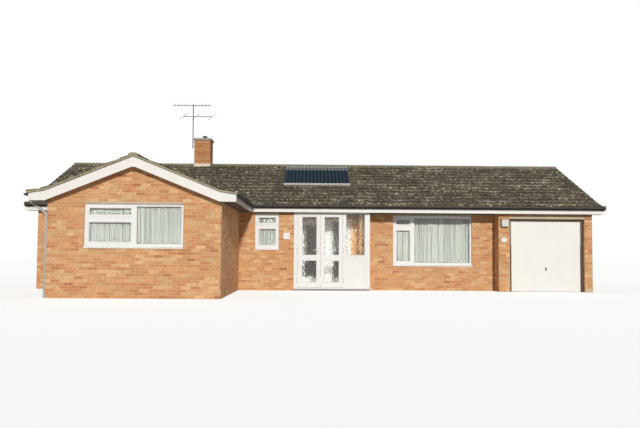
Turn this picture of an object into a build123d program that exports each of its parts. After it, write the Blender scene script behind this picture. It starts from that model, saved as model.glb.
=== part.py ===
from build123d import *
import math
import os

# Brick bungalow with a front wing, an enclosed porch and a built-in garage.
# X runs to the right along the front, Y runs back into the house, Z is up.
# The origin is on the ground, below the middle of the main ridge.

# Wall plan
wall_thickness = 275.0
main_length = 16670.0
main_front = -4270.0
main_rear = 4270.0
living_setback = 500.0
wing_centre = -4416.0
wing_width = 4200.0
wing_front = -8550.0
porch_left = -664.0
porch_right = 1618.0
porch_depth = 1000.0
garage_pier_left = 5505.0
garage_left = 5837.0
garage_right = 8103.0

# Levels
house_floor_level = 150.0
garage_floor_level = 40.0
porch_floor_level = 55.0
soffit_level = 2340.0
eaves_level = 2565.0
window_head = 2286.0
bedroom_sill = 1205.0
living_sill = 740.0

# Roof
roof_rise = 0.4
sprocket_run = 380.0
sprocket_rise = 0.158
eaves_overhang = 220.0
wing_eaves_overhang = 380.0
tile_layer = 50.0
deck_layer = 60.0
tile_oversail = 40.0
verge_overhang = 300.0
wing_verge_overhang = 250.0
verge_oversail = 35.0
board_thickness = 20.0
soffit_thickness = 12.0
barge_depth = 240.0
ridge_radius = 130.0
ridge_cover = 40.0
ridge_joint = 1.0
gutter_radius = 56.0
gutter_wall = 4.0
gutter_drop = 60.0
gutter_gap = 0.3
downpipe_radius = 34.0
downpipe_standoff = 30.0
downpipe_inset = 120.0
rear_downpipe_inset = 200.0
swan_drop = 20.0
swan_length = 280.0

# Windows
frame_width = 55.0
sash_width = 50.0
frame_depth = 70.0
frame_recess = 50.0
sash_proud = 12.0
glass_thickness = 24.0
transom_height = 77.0
vent_height = 265.0
sill_height = 45.0
sill_nose_height = 24.0
sill_projection = 45.0
lintel_height = 54.0
foot_rail = 100.0
track_height = 24.0
track_depth = 35.0
track_inset = 4.0
net_thickness = 24.0
net_edge = 14.0
net_gap = 0.3
wing_window_left = -5631.0
wing_window_width = 2400.0
wing_window_casement = 1174.0
living_window_left = 2374.0
living_window_width = 2433.0
living_window_casement = 576.0
hall_window_left = -1833.0
hall_window_width = 720.0
rear_window_width = 2400.0
rear_window_casement = 1174.0
rear_bedroom_left = -6600.0
rear_bath_left = -2600.0
rear_kitchen_left = 2374.0
back_door_left = 300.0
back_door_width = 900.0
back_door_height = 2100.0
back_door_recess = 60.0
back_panel_edge = 150.0
back_panel_sunk = 20.0
back_panel_foot = 1100.0
back_panel_head = 200.0

# Porch screen and its pair of doors
porch_face = -4310.0
post_depth = 70.0
porch_left_post = 110.0
porch_mullion_left = 810.0
porch_mullion = 85.0
porch_right_post = 150.0
porch_head = 40.0
porch_sill_height = 45.0
porch_sill_nose = 50.0
porch_meeting = 137.0
leaf_gap = 6.0
meeting_gap = 8.0
leaf_thickness = 50.0
leaf_stile = 108.0
leaf_top_rail = 78.0
leaf_mid_rail_low = 907.0
leaf_mid_rail_high = 1060.0
leaf_bottom_rail = 142.0
side_panel_top = 985.0
bead = 25.0
hinge_barrel = 6.0
barrel_sides = 12
hinge_standoff = 8.0
hinge_height = 90.0
hinge_plate = 30.0
hinge_plate_thickness = 3.0
knuckle_height = 25.0
knuckle_gap = 0.3
hinge_inset = 200.0
left_leaf_hinge_stile = 126.0
spindle_radius = 8.0
spindle_clearance = 0.3
lever_length = 120.0
lever_height = 20.0
lever_thickness = 12.0
lever_standoff = 40.0
handle_x = 80.0
handle_level = 1230.0

# Entrance door inside the porch
entrance_left = -560.0
entrance_width = 1655.0
entrance_mullion_left = 350.0
entrance_mullion = 166.0
entrance_right_jamb = 140.0
entrance_height = 2180.0
entrance_frame = 60.0
entrance_leaf = 44.0
entrance_rail = 200.0

# Garage door and its canopy gear
garage_door_width = 2094.0
garage_side_gap = 20.0
garage_head = 2134.0
garage_head_gap = 14.0
garage_ground_gap = 12.0
garage_leaf = 40.0
garage_skin = 6.0
garage_rim = 60.0
garage_ribs = 3
garage_recess = 140.0
garage_frame_width = 66.0
garage_frame_depth = 90.0
garage_frame_proud = 20.0
garage_pivot_setback = 8.0
pivot_plate = 2.0
pivot_plate_width = 30.0
pivot_plate_height = 44.0
pivot_plate_rise = 12.0
arm_thickness = 8.0
arm_width = 24.0
pin_radius = 4.0
pin_clearance = 1.0
garage_handle_level = 693.0
garage_handle_length = 80.0
garage_handle_width = 18.0
garage_handle_thickness = 15.0
garage_handle_standoff = 35.0
garage_spindle = 7.0
garage_lintel_height = 63.0

# Chimney and aerials
chimney_left = -4340.0
chimney_width = 560.0
chimney_front = -300.0
chimney_depth = 700.0
chimney_foot = 3900.0
chimney_brick_top = 5046.0
chimney_course_top = 5120.0
chimney_cap_top = 5190.0
cap_overhang = 35.0
pot_shift = 45.0
pot_height = 130.0
pot_radius = 100.0
pot_neck_radius = 66.0
cowl_height = 50.0
cowl_taper = 30.0
mast_x = -4456.0
mast_y = 50.0
mast_radius = 16.0
mast_foot = 4857.0
mast_top = 6460.0
mast_clamp_levels = (80.0, 220.0)
mast_clamp = 40.0
mast_clamp_height = 30.0
lead_thickness = 3.0
flashing_upstand = 170.0
valley_lead_width = 75.0
valley_lead_clear = 220.0
boom_thickness = 20.0
television_boom_drop = 40.0
television_boom_left = 718.0
television_boom_right = 632.0
television_elements = 11
television_element_length = 150.0
element_radius = 4.0
radio_boom_drop = 445.0
radio_boom_left = 357.0
radio_boom_right = 701.0
radio_element_length = 560.0
television_lean = (0.1, 0.3, 1.0)
radio_lean = (0.55, 1.0, 0.75)

# Solar collectors
solar_left = -1060.0
solar_group_width = 719.0
solar_group_gap = 10.0
solar_groups = 3
tubes_per_group = 6
tube_radius = 50.0
tube_sides = 16
tube_pitch = 119.0
solar_top = -750.0
solar_bottom = -2500.0
solar_lift = 75.0
manifold_length = 150.0
manifold_height = 135.0
solar_rail = 40.0
solar_rail_height = 125.0

# Small fittings on the front
meter_left = -980.0
meter_width = 194.0
meter_foot = 1529.0
meter_height = 196.0
meter_depth = 60.0
lamp_left = 5572.0
lamp_width = 216.0
lamp_foot = 1951.0
lamp_height = 233.0
lamp_depth = 110.0
lamp_rim = 24.0
lamp_sunk = 10.0
plaque_x = 5668.0
plaque_level = 1561.0
plaque_width = 190.0
plaque_height = 150.0
plaque_thickness = 14.0

# Derived levels and lines
half_length = main_length / 2
wing_left = wing_centre - wing_width / 2
wing_right = wing_centre + wing_width / 2
living_front = main_front + living_setback
porch_back = main_front + porch_depth
eaves_line = main_front - eaves_overhang
wing_eaves = wing_width / 2 + wing_eaves_overhang
main_break = -eaves_line - sprocket_run
wing_break = wing_eaves - sprocket_run
break_level = eaves_level + sprocket_run * sprocket_rise
main_ridge = break_level + main_break * roof_rise
wing_ridge = break_level + wing_break * roof_rise
valley_start = main_break - wing_break
verge_x = half_length + verge_overhang
wing_verge = wing_front - wing_verge_overhang
deck_drop = tile_layer + deck_layer

os.makedirs("parts", exist_ok=True)


def save(builder, name):
    builder.part.label = name
    export_step(builder.part, f"parts/{name}.step")


def rect(a0, a1, b0, b1, mode=Mode.ADD):
    with Locations(((a0 + a1) / 2, (b0 + b1) / 2)):
        Rectangle(a1 - a0, b1 - b0, mode=mode)


def front_plane(y):
    return Plane.XZ.offset(-y)


def slope_profile(edge, bend, ridge_level, oversail, top_drop, thickness, side=-1.0, start=ridge_joint / 2):
    """Half of a roof section: a steep slope with a flatter sprocket at its foot."""
    end = edge + oversail
    end_level = break_level - (end - bend) * sprocket_rise
    start_level = ridge_level - start * roof_rise
    top = [(side * start, start_level - top_drop), (side * bend, break_level - top_drop),
           (side * end, end_level - top_drop)]
    low = [(a, b - thickness) for a, b in reversed(top)]
    Polygon(*top, *low, align=None)


def main_slope(side, top_drop, thickness, half_run, oversail):
    """One main roof layer, from the ridge to the eaves."""
    with BuildPart() as layer:
        with BuildSketch(Plane.YZ.offset(-half_run)):
            slope_profile(-eaves_line, main_break, main_ridge, oversail, top_drop, thickness, side)
        extrude(amount=2 * half_run)
    return layer.part


def wing_plan(reach):
    """The plan of the wing roof, which ends behind at its two valleys."""
    Polygon(
        (wing_centre, -valley_start),
        (wing_centre - reach, -valley_start - reach),
        (wing_centre - reach, wing_verge * 2),
        (wing_centre + reach, wing_verge * 2),
        (wing_centre + reach, -valley_start - reach),
        align=None,
    )


def wing_slope(side, top_drop, thickness, front, oversail):
    """One wing roof layer, from the verge back to its valley."""
    with BuildPart() as layer:
        with BuildSketch(Plane.XZ.offset(-front)):
            with Locations((wing_centre, 0)):
                slope_profile(wing_eaves, wing_break, wing_ridge, oversail, top_drop, thickness, side)
        extrude(amount=front)
        with BuildSketch(Plane.XY):
            wing_plan(2 * wing_eaves)
        extrude(amount=2 * main_ridge, mode=Mode.INTERSECT)
    return layer.part


def under_roof_solid():
    """Everything below the roof decks, used to trim the tops of the walls."""
    with BuildPart() as below:
        with BuildSketch(Plane.YZ.offset(-half_length)):
            for side in (-1.0, 1.0):
                slope_profile(-eaves_line, main_break, main_ridge, 0.0, deck_drop, 2 * main_ridge, side, 0.0)
        extrude(amount=main_length)
        with BuildSketch(Plane.XZ.offset(-wing_front)):
            with Locations((wing_centre, 0)):
                for side in (-1.0, 1.0):
                    slope_profile(wing_eaves, wing_break, wing_ridge, 0.0, deck_drop, 2 * main_ridge, side, 0.0)
        extrude(amount=wing_front)
    return below.part


under_roof = under_roof_solid()


def wall_along_x(x0, x1, face, holes=(), bottom=0.0, top=2 * main_ridge):
    """A wall with its outer face towards the front, cut by its openings and the roof."""
    with BuildPart() as wall:
        with BuildSketch(front_plane(face)):
            rect(x0, x1, bottom, top)
            for hole in holes:
                rect(*hole, mode=Mode.SUBTRACT)
        extrude(amount=-wall_thickness)
        add(under_roof, mode=Mode.INTERSECT)
    return wall.part


def walls_along_y(name, strips):
    """Walls that run back, each given by its plan, cut by the roof."""
    with BuildPart() as walls:
        with BuildSketch():
            for x0, x1, y0, y1 in strips:
                rect(x0, x1, y0, y1)
        extrude(amount=2 * main_ridge)
        add(under_roof, mode=Mode.INTERSECT)
    save(walls, name)


def save_all(name, shapes):
    """Writes like pieces as one node of separate solids."""
    with BuildPart() as group:
        for shape in shapes:
            add(shape)
    save(group, name)


# Outer walls
lintel_top = window_head + lintel_height
wing_hole = (wing_window_left, wing_window_left + wing_window_width, bedroom_sill, lintel_top)
living_hole = (living_window_left, living_window_left + living_window_width, living_sill, lintel_top)
hall_hole = (hall_window_left, hall_window_left + hall_window_width, bedroom_sill, lintel_top)
rear_bedroom_hole = (rear_bedroom_left, rear_bedroom_left + rear_window_width, bedroom_sill, lintel_top)
rear_bath_hole = (rear_bath_left, rear_bath_left + hall_window_width, bedroom_sill, lintel_top)
rear_kitchen_hole = (rear_kitchen_left, rear_kitchen_left + rear_window_width, bedroom_sill, lintel_top)
back_door_hole = (back_door_left, back_door_left + back_door_width, house_floor_level,
                  house_floor_level + back_door_height)

gable_inner = half_length - wall_thickness
wing_inner = wing_front + wall_thickness
main_inner = main_front + wall_thickness
living_inner = living_front + wall_thickness
porch_inner = porch_back + wall_thickness
garage_head_top = garage_head + garage_frame_width

save_all("front_walls", [
    wall_along_x(wing_left, wing_right, wing_front, [wing_hole]),
    wall_along_x(-gable_inner, wing_left, main_front),
    wall_along_x(wing_right - wall_thickness, porch_left, main_front, [hall_hole]),
    wall_along_x(porch_right - wall_thickness, garage_pier_left, living_front, [living_hole]),
])
walls_along_y("side_walls", [
    (wing_left, wing_left + wall_thickness, wing_inner, main_inner),
    (wing_right - wall_thickness, wing_right, wing_inner, main_front),
    (-half_length, -gable_inner, main_front, main_rear),
    (gable_inner, half_length, main_inner, main_rear),
])
save_all("rear_wall", [
    wall_along_x(-gable_inner, gable_inner, main_rear - wall_thickness,
                 [rear_bedroom_hole, rear_bath_hole, rear_kitchen_hole, back_door_hole]),
])
walls_along_y("garage_piers", [
    (garage_pier_left, garage_left, main_front, living_inner),
    (garage_right, half_length, main_front, main_inner),
])
walls_along_y("porch_side_walls", [
    (porch_left - wall_thickness, porch_left, main_inner, porch_back),
    (porch_right - wall_thickness, porch_right, living_inner, porch_back),
])
entrance_right = entrance_left + entrance_width
save_all("entrance_walls", [
    wall_along_x(porch_left - wall_thickness, entrance_left, porch_back),
    wall_along_x(entrance_right, porch_right, porch_back),
])
save_all("door_head_walls", [
    wall_along_x(garage_left, garage_right, main_front, bottom=garage_head_top + garage_lintel_height),
    wall_along_x(entrance_left, entrance_right, porch_back, bottom=entrance_height),
])

# Floors
garage_frame_back = main_front + garage_recess - garage_frame_proud + garage_frame_depth
with BuildPart() as house_floor:
    with BuildSketch():
        Polygon(
            (-gable_inner, main_inner),
            (wing_left + wall_thickness, main_inner),
            (wing_left + wall_thickness, wing_inner),
            (wing_right - wall_thickness, wing_inner),
            (wing_right - wall_thickness, main_inner),
            (porch_left - wall_thickness, main_inner),
            (porch_left - wall_thickness, porch_inner),
            (porch_right, porch_inner),
            (porch_right, living_inner),
            (garage_pier_left, living_inner),
            (garage_pier_left, main_rear - wall_thickness),
            (-gable_inner, main_rear - wall_thickness),
            align=None,
        )
        rect(entrance_left, entrance_right, porch_back, porch_inner)
    extrude(amount=house_floor_level)
save(house_floor, "house_floor")

with BuildPart() as garage_floor:
    with BuildSketch():
        Polygon(
            (garage_left, garage_frame_back),
            (garage_right, garage_frame_back),
            (garage_right, main_inner),
            (gable_inner, main_inner),
            (gable_inner, main_rear - wall_thickness),
            (garage_pier_left, main_rear - wall_thickness),
            (garage_pier_left, living_inner),
            (garage_left, living_inner),
            align=None,
        )
    extrude(amount=garage_floor_level)
save(garage_floor, "garage_floor")

with BuildPart() as porch_step:
    with BuildSketch():
        rect(porch_left, porch_right - wall_thickness, porch_face, porch_back)
        rect(porch_right - wall_thickness, porch_right, porch_face, living_front)
    extrude(amount=porch_floor_level)
save(porch_step, "porch_step")

# Main and wing roofs
main_half_run = verge_x + verge_oversail
chimney_right = chimney_left + chimney_width
chimney_rear = chimney_front + chimney_depth


with BuildPart() as chimney_shaft:
    with BuildSketch():
        rect(chimney_left, chimney_right, chimney_front, chimney_rear)
    extrude(amount=2 * main_ridge)


def main_layer(name, drop, thickness, half_run, oversail):
    """One layer of both main slopes, cut for the wing roof and the chimney."""
    with BuildPart() as layer:
        add(main_slope(-1.0, drop, thickness, half_run, oversail))
        with BuildSketch(Plane.XY):
            wing_plan(2 * wing_eaves)
        extrude(amount=2 * main_ridge, mode=Mode.SUBTRACT)
        add(main_slope(1.0, drop, thickness, half_run, oversail))
        add(chimney_shaft.part, mode=Mode.SUBTRACT)
    save(layer, name)


def wing_layer(name, drop, thickness, front, oversail):
    """One layer of both wing slopes."""
    with BuildPart() as layer:
        for side in (-1.0, 1.0):
            add(wing_slope(side, drop, thickness, front, oversail))
    save(layer, name)


main_layer("main_roof_tiles", 0.0, tile_layer, main_half_run, tile_oversail)
wing_layer("wing_roof_tiles", 0.0, tile_layer, wing_verge - verge_oversail, tile_oversail)
main_layer("main_roof_deck", tile_layer, deck_layer, verge_x - board_thickness, -board_thickness)
wing_layer("wing_roof_deck", tile_layer, deck_layer, wing_verge + board_thickness, -board_thickness)


def ridge_profile(level):
    """A rounded ridge tile that sits astride the two slopes."""
    with Locations((0, level + ridge_cover - ridge_radius)):
        Circle(ridge_radius)
    Polygon((0, level), (-2 * ridge_radius, level - 2 * ridge_radius * roof_rise),
            (-2 * ridge_radius, level - 4 * ridge_radius), (2 * ridge_radius, level - 4 * ridge_radius),
            (2 * ridge_radius, level - 2 * ridge_radius * roof_rise), align=None, mode=Mode.SUBTRACT)


with BuildPart() as main_ridge_tiles:
    with BuildSketch(Plane.YZ.offset(-main_half_run)):
        ridge_profile(main_ridge)
    extrude(amount=2 * main_half_run)
    add(chimney_shaft.part, mode=Mode.SUBTRACT)

with BuildPart() as wing_ridge_tiles:
    with BuildSketch(Plane.XZ.offset(-(wing_verge - verge_oversail))):
        with Locations((wing_centre, 0)):
            ridge_profile(wing_ridge)
    extrude(amount=wing_verge - verge_oversail)
    with BuildSketch(Plane.YZ.offset(-2 * half_length)):
        Polygon((0, main_ridge), (eaves_line, main_ridge + eaves_line * roof_rise),
                (eaves_line, -main_ridge), (0, -main_ridge), align=None)
    extrude(amount=4 * half_length, mode=Mode.SUBTRACT)
save_all("ridge_tiles", [main_ridge_tiles.part, wing_ridge_tiles.part])


# Barge boards, fascias and soffits
def barge_outline(edge, bend):
    """A gable board with boxed ends that follow the sprockets."""
    apex = break_level + bend * roof_rise - tile_layer
    low_start = bend + (break_level - tile_layer - barge_depth - soffit_level) / roof_rise
    Polygon(
        (-edge, soffit_level),
        (-edge, eaves_level - tile_layer),
        (-bend, break_level - tile_layer),
        (0, apex),
        (bend, break_level - tile_layer),
        (edge, eaves_level - tile_layer),
        (edge, soffit_level),
        (low_start, soffit_level),
        (0, apex - barge_depth),
        (-low_start, soffit_level),
        align=None,
    )


with BuildPart() as wing_barge_board:
    with BuildSketch(front_plane(wing_verge)):
        with Locations((wing_centre, 0)):
            barge_outline(wing_eaves, wing_break)
    extrude(amount=-board_thickness)
with BuildPart() as main_barge_boards:
    for x in (-verge_x, verge_x - board_thickness):
        with BuildSketch(Plane.YZ.offset(x)):
            barge_outline(-eaves_line, main_break)
        extrude(amount=board_thickness)
save_all("barge_boards", [wing_barge_board.part, main_barge_boards.part])

fascia_top = eaves_level - tile_layer
wing_eaves_left = wing_centre - wing_eaves
wing_eaves_right = wing_centre + wing_eaves
fascia_end = verge_x - board_thickness
wing_fascia_end = wing_verge + board_thickness
with BuildPart() as main_fascias:
    with BuildSketch(Plane.XY.offset(soffit_level)):
        rect(-fascia_end, fascia_end, -eaves_line - board_thickness, -eaves_line)
        rect(-fascia_end, wing_eaves_left + board_thickness, eaves_line, eaves_line + board_thickness)
        rect(wing_eaves_right - board_thickness, fascia_end, eaves_line, eaves_line + board_thickness)
    extrude(amount=fascia_top - soffit_level)
save(main_fascias, "main_fascias")

with BuildPart() as wing_fascias:
    with BuildSketch(Plane.XY.offset(soffit_level)):
        rect(wing_eaves_left, wing_eaves_left + board_thickness, wing_fascia_end, eaves_line)
        rect(wing_eaves_right - board_thickness, wing_eaves_right, wing_fascia_end, eaves_line)
    extrude(amount=fascia_top - soffit_level)
save(wing_fascias, "wing_fascias")

soffit_edge = eaves_line + board_thickness
box_end = -main_break
with BuildPart() as soffits:
    with BuildSketch(Plane.XY.offset(soffit_level)):
        rect(wing_right, porch_left, soffit_edge, main_front)
        rect(porch_left, porch_right, soffit_edge, living_front)
        rect(porch_left, porch_right - wall_thickness, living_front, porch_back)
        rect(porch_right, garage_pier_left, soffit_edge, living_front)
        rect(garage_pier_left, half_length, soffit_edge, main_front)
        rect(half_length, fascia_end, soffit_edge, box_end)
        rect(-half_length, wing_left, soffit_edge, main_front)
        rect(-fascia_end, -half_length, soffit_edge, box_end)
        rect(wing_right, wing_eaves_right - board_thickness, wing_fascia_end, soffit_edge)
        rect(wing_eaves_left + board_thickness, wing_left, wing_fascia_end, soffit_edge)
        rect(-half_length, half_length, main_rear, -soffit_edge)
        rect(-fascia_end, -half_length, -box_end, -soffit_edge)
        rect(half_length, fascia_end, -box_end, -soffit_edge)
    extrude(amount=soffit_thickness)
save(soffits, "soffits")


# Rainwater goods
def gutter_section():
    """A half-round channel, open at the top."""
    Circle(gutter_radius)
    Circle(gutter_radius - gutter_wall, mode=Mode.SUBTRACT)
    rect(-2 * gutter_radius, 2 * gutter_radius, 0, 2 * gutter_radius, mode=Mode.SUBTRACT)


gutter_level = eaves_level - gutter_drop
gutter_offset = gutter_radius + gutter_gap
front_gutter_y = eaves_line - gutter_offset
inner_corner = wing_eaves_right + gutter_offset
outer_corner = wing_eaves_left - gutter_offset


def front_gutter_half(x_corner, x_end):
    """A front gutter from its mitred corner at the wing out to one end."""
    turn = 1.0 if x_end > x_corner else -1.0
    start = x_corner - turn * 2 * gutter_radius
    with BuildPart() as run:
        with BuildSketch(Plane(origin=(start, front_gutter_y, gutter_level), x_dir=(0, 1, 0), z_dir=(1, 0, 0))):
            gutter_section()
        extrude(amount=x_end - start)
        split(bisect_by=Plane(origin=(x_corner, front_gutter_y, 0), z_dir=(turn, 1, 0)), keep=Keep.TOP)
    return run.part


def wing_gutter_half(x_corner, turn):
    """A gutter along one side of the wing, mitred where it meets the front gutter."""
    with BuildPart() as run:
        with BuildSketch(Plane(origin=(x_corner, wing_verge, gutter_level), x_dir=(1, 0, 0), z_dir=(0, -1, 0))):
            gutter_section()
        extrude(amount=wing_verge - front_gutter_y - 2 * gutter_radius)
        split(bisect_by=Plane(origin=(x_corner, front_gutter_y, 0), z_dir=(-turn, -1, 0)), keep=Keep.TOP)
    return run.part


with BuildPart() as rear_gutter:
    with BuildSketch(Plane(origin=(-verge_x, -front_gutter_y, gutter_level), x_dir=(0, 1, 0), z_dir=(1, 0, 0))):
        gutter_section()
    extrude(amount=2 * verge_x)
save_all("main_gutters", [
    front_gutter_half(inner_corner, verge_x),
    front_gutter_half(outer_corner, -verge_x),
    rear_gutter.part,
])
save_all("wing_gutters", [wing_gutter_half(inner_corner, 1.0), wing_gutter_half(outer_corner, -1.0)])

swan_top = soffit_level - swan_drop
swan_foot = swan_top - swan_length


def downpipe(outlet, foot):
    """A pipe that drops from the gutter, swans back to the wall and runs down it."""
    with BuildPart() as pipe:
        with BuildLine() as route:
            Polyline(
                (outlet[0], outlet[1], gutter_level - gutter_radius),
                (outlet[0], outlet[1], swan_top),
                (foot[0], foot[1], swan_foot),
                (foot[0], foot[1], 0.0),
            )
        with BuildSketch(Plane(origin=route.wire() @ 0, z_dir=(0, 0, -1))):
            Circle(downpipe_radius)
        sweep(transition=Transition.RIGHT)
    return pipe.part


pipe_out = downpipe_radius + downpipe_standoff
rear_pipe_x = half_length - rear_downpipe_inset
with BuildPart() as downpipes:
    add(downpipe((outer_corner, wing_front + downpipe_inset), (wing_left - pipe_out, wing_front + downpipe_inset)))
    add(downpipe((-rear_pipe_x, -front_gutter_y), (-rear_pipe_x, main_rear + pipe_out)))
    add(downpipe((rear_pipe_x, -front_gutter_y), (rear_pipe_x, main_rear + pipe_out)))
save(downpipes, "downpipes")


# Windows
def window(left, width, bottom, face, casement, outward=-1.0):
    """A frame with a top vent over a side casement, and a fixed light beside them."""
    right = left + width
    inner_left = left + frame_width
    inner_right = right - frame_width
    low = bottom + foot_rail
    high = window_head - frame_width
    vent_low = high - vent_height
    mullion_left = left + casement if casement < width else inner_right
    lights = [
        (inner_left, mullion_left, vent_low, high),
        (inner_left, mullion_left, low, vent_low - transom_height),
    ]
    face_plane = front_plane(face - outward * frame_recess)
    with BuildPart() as frame:
        with BuildSketch(face_plane):
            rect(left, right, bottom, window_head)
            for light in lights:
                rect(*light, mode=Mode.SUBTRACT)
            if casement < width:
                rect(mullion_left + transom_height, inner_right, low, high, mode=Mode.SUBTRACT)
        extrude(amount=outward * frame_depth)
        with BuildSketch(front_plane(face - outward * (frame_recess - sash_proud))):
            for x0, x1, z0, z1 in lights:
                rect(x0, x1, z0, z1)
                rect(x0 + sash_width, x1 - sash_width, z0 + sash_width, z1 - sash_width, mode=Mode.SUBTRACT)
        extrude(amount=outward * frame_depth)
        with BuildSketch(front_plane(face - outward * (frame_recess + frame_depth))):
            rect(left + track_inset, right - track_inset, window_head - track_height - track_inset,
                 window_head - track_inset)
        extrude(amount=outward * track_depth)
    with BuildPart() as panes:
        with BuildSketch(front_plane(face - outward * (frame_recess + frame_depth / 2 - glass_thickness / 2))):
            for x0, x1, z0, z1 in lights:
                rect(x0 + sash_width, x1 - sash_width, z0 + sash_width, z1 - sash_width)
            if casement < width:
                rect(mullion_left + transom_height, inner_right, low, high)
        extrude(amount=outward * glass_thickness)
    return frame.part, panes.part


wing_frame, wing_panes = window(wing_window_left, wing_window_width, bedroom_sill, wing_front,
                                wing_window_casement)
living_frame, living_panes = window(living_window_left, living_window_width, living_sill, living_front,
                                    living_window_casement)
hall_frame, hall_panes = window(hall_window_left, hall_window_width, bedroom_sill, main_front,
                                hall_window_width)
rear_sets = [
    window(rear_bedroom_left, rear_window_width, bedroom_sill, main_rear, rear_window_casement, 1.0),
    window(rear_bath_left, hall_window_width, bedroom_sill, main_rear, hall_window_width, 1.0),
    window(rear_kitchen_left, rear_window_width, bedroom_sill, main_rear, rear_window_casement, 1.0),
]
save_all("front_window_frames", [wing_frame, living_frame, hall_frame])
save_all("rear_window_frames", [frame for frame, panes in rear_sets])
save_all("window_glass", [wing_panes, living_panes, hall_panes, *(panes for frame, panes in rear_sets)])


# Sills and lintels
def sill(left, width, bottom, face, outward=-1.0):
    """A weathered sill that closes the foot of the opening and stands out from the wall."""
    back = face - outward * frame_recess
    nose = face + outward * sill_projection
    with BuildPart() as piece:
        with BuildSketch(Plane.YZ.offset(left)):
            Polygon((back, bottom), (nose, bottom), (nose, bottom + sill_nose_height),
                    (face, bottom + sill_height), (back, bottom + sill_height), align=None)
        extrude(amount=width)
    return piece.part


save_all("window_sills", [
    sill(wing_window_left, wing_window_width, bedroom_sill, wing_front),
    sill(living_window_left, living_window_width, living_sill, living_front),
    sill(hall_window_left, hall_window_width, bedroom_sill, main_front),
    sill(rear_bedroom_left, rear_window_width, bedroom_sill, main_rear, 1.0),
    sill(rear_bath_left, hall_window_width, bedroom_sill, main_rear, 1.0),
    sill(rear_kitchen_left, rear_window_width, bedroom_sill, main_rear, 1.0),
])


def lintel(left, width, face):
    """A concrete beam over an opening, as deep as the wall."""
    with BuildPart() as piece:
        with BuildSketch(front_plane(face)):
            rect(left, left + width, window_head, lintel_top)
        extrude(amount=-wall_thickness)
    return piece.part


rear_face = main_rear - wall_thickness
save_all("window_lintels", [
    lintel(wing_window_left, wing_window_width, wing_front),
    lintel(living_window_left, living_window_width, living_front),
    lintel(hall_window_left, hall_window_width, main_front),
    lintel(rear_bedroom_left, rear_window_width, rear_face),
    lintel(rear_bath_left, hall_window_width, rear_face),
    lintel(rear_kitchen_left, rear_window_width, rear_face),
])


def net_curtain(left, width, bottom, face, outward=-1.0):
    """A net that hangs below its track, just behind the window frame."""
    front = face - outward * (frame_recess + frame_depth + (track_depth - net_thickness) / 2)
    with BuildPart() as net:
        with BuildSketch(front_plane(front)):
            rect(left + net_edge, left + width - net_edge, bottom + net_edge,
                 window_head - track_height - track_inset - net_gap)
        extrude(amount=outward * net_thickness)
    return net.part


save_all("net_curtains", [
    net_curtain(wing_window_left, wing_window_width, bedroom_sill, wing_front),
    net_curtain(living_window_left, living_window_width, living_sill, living_front),
    net_curtain(hall_window_left, hall_window_width, bedroom_sill, main_front),
    net_curtain(rear_bedroom_left, rear_window_width, bedroom_sill, main_rear, 1.0),
    net_curtain(rear_bath_left, hall_window_width, bedroom_sill, main_rear, 1.0),
    net_curtain(rear_kitchen_left, rear_window_width, bedroom_sill, main_rear, 1.0),
])

with BuildPart() as garage_lintel:
    with BuildSketch(front_plane(main_front)):
        rect(garage_left, garage_right, garage_head_top, garage_head_top + garage_lintel_height)
    extrude(amount=-wall_thickness)
save(garage_lintel, "garage_lintel")

# Back door
with BuildPart() as back_door:
    with BuildSketch(front_plane(main_rear - back_door_recess)):
        rect(back_door_left, back_door_left + back_door_width, house_floor_level,
             house_floor_level + back_door_height)
    extrude(amount=frame_depth)
    with BuildSketch(front_plane(main_rear - back_door_recess)):
        rect(back_door_left + back_panel_edge, back_door_left + back_door_width - back_panel_edge,
             house_floor_level + back_panel_foot, house_floor_level + back_door_height - back_panel_head)
    extrude(amount=back_panel_sunk, mode=Mode.SUBTRACT)
save(back_door, "back_door")

# Porch screen
opening_left = porch_left + porch_left_post
opening_right = porch_mullion_left
frame_foot = porch_floor_level + porch_sill_height
porch_top = soffit_level
side_light_left = porch_mullion_left + porch_mullion
side_light_right = porch_right - porch_right_post

with BuildPart() as porch_sill:
    with BuildSketch(Plane.YZ.offset(porch_left)):
        Polygon((porch_face + post_depth, porch_floor_level), (porch_face - porch_sill_nose, porch_floor_level),
                (porch_face - porch_sill_nose, porch_floor_level + 0.5 * porch_sill_height),
                (porch_face, frame_foot), (porch_face + post_depth, frame_foot), align=None)
    extrude(amount=porch_right - porch_left + porch_sill_nose)
save(porch_sill, "porch_sill")

with BuildPart() as porch_left_frame:
    with BuildSketch(front_plane(porch_face)):
        rect(porch_left, opening_left, frame_foot, porch_top)
        rect(opening_left, porch_mullion_left, porch_top - porch_head, porch_top)
    extrude(amount=-post_depth)

with BuildPart() as porch_side_light:
    with BuildSketch(front_plane(porch_face)):
        rect(porch_mullion_left, porch_right, frame_foot, porch_top)
        rect(side_light_left, side_light_right, leaf_mid_rail_high, porch_top - bead, mode=Mode.SUBTRACT)
    extrude(amount=-post_depth)
    with BuildSketch(front_plane(porch_face)):
        rect(side_light_left, side_light_right, frame_foot + leaf_bottom_rail / 2, side_panel_top)
    extrude(amount=-bead, mode=Mode.SUBTRACT)
save(porch_side_light, "porch_side_light")

with BuildPart() as porch_return:
    with BuildSketch(Plane.YZ.offset(porch_right - post_depth)):
        rect(porch_face + post_depth, living_front, frame_foot, porch_top)
        rect(porch_face + 2 * post_depth, living_front - post_depth, leaf_mid_rail_high,
             porch_top - leaf_top_rail, mode=Mode.SUBTRACT)
    extrude(amount=post_depth)
save_all("porch_side_frames", [porch_left_frame.part, porch_return.part])

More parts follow.
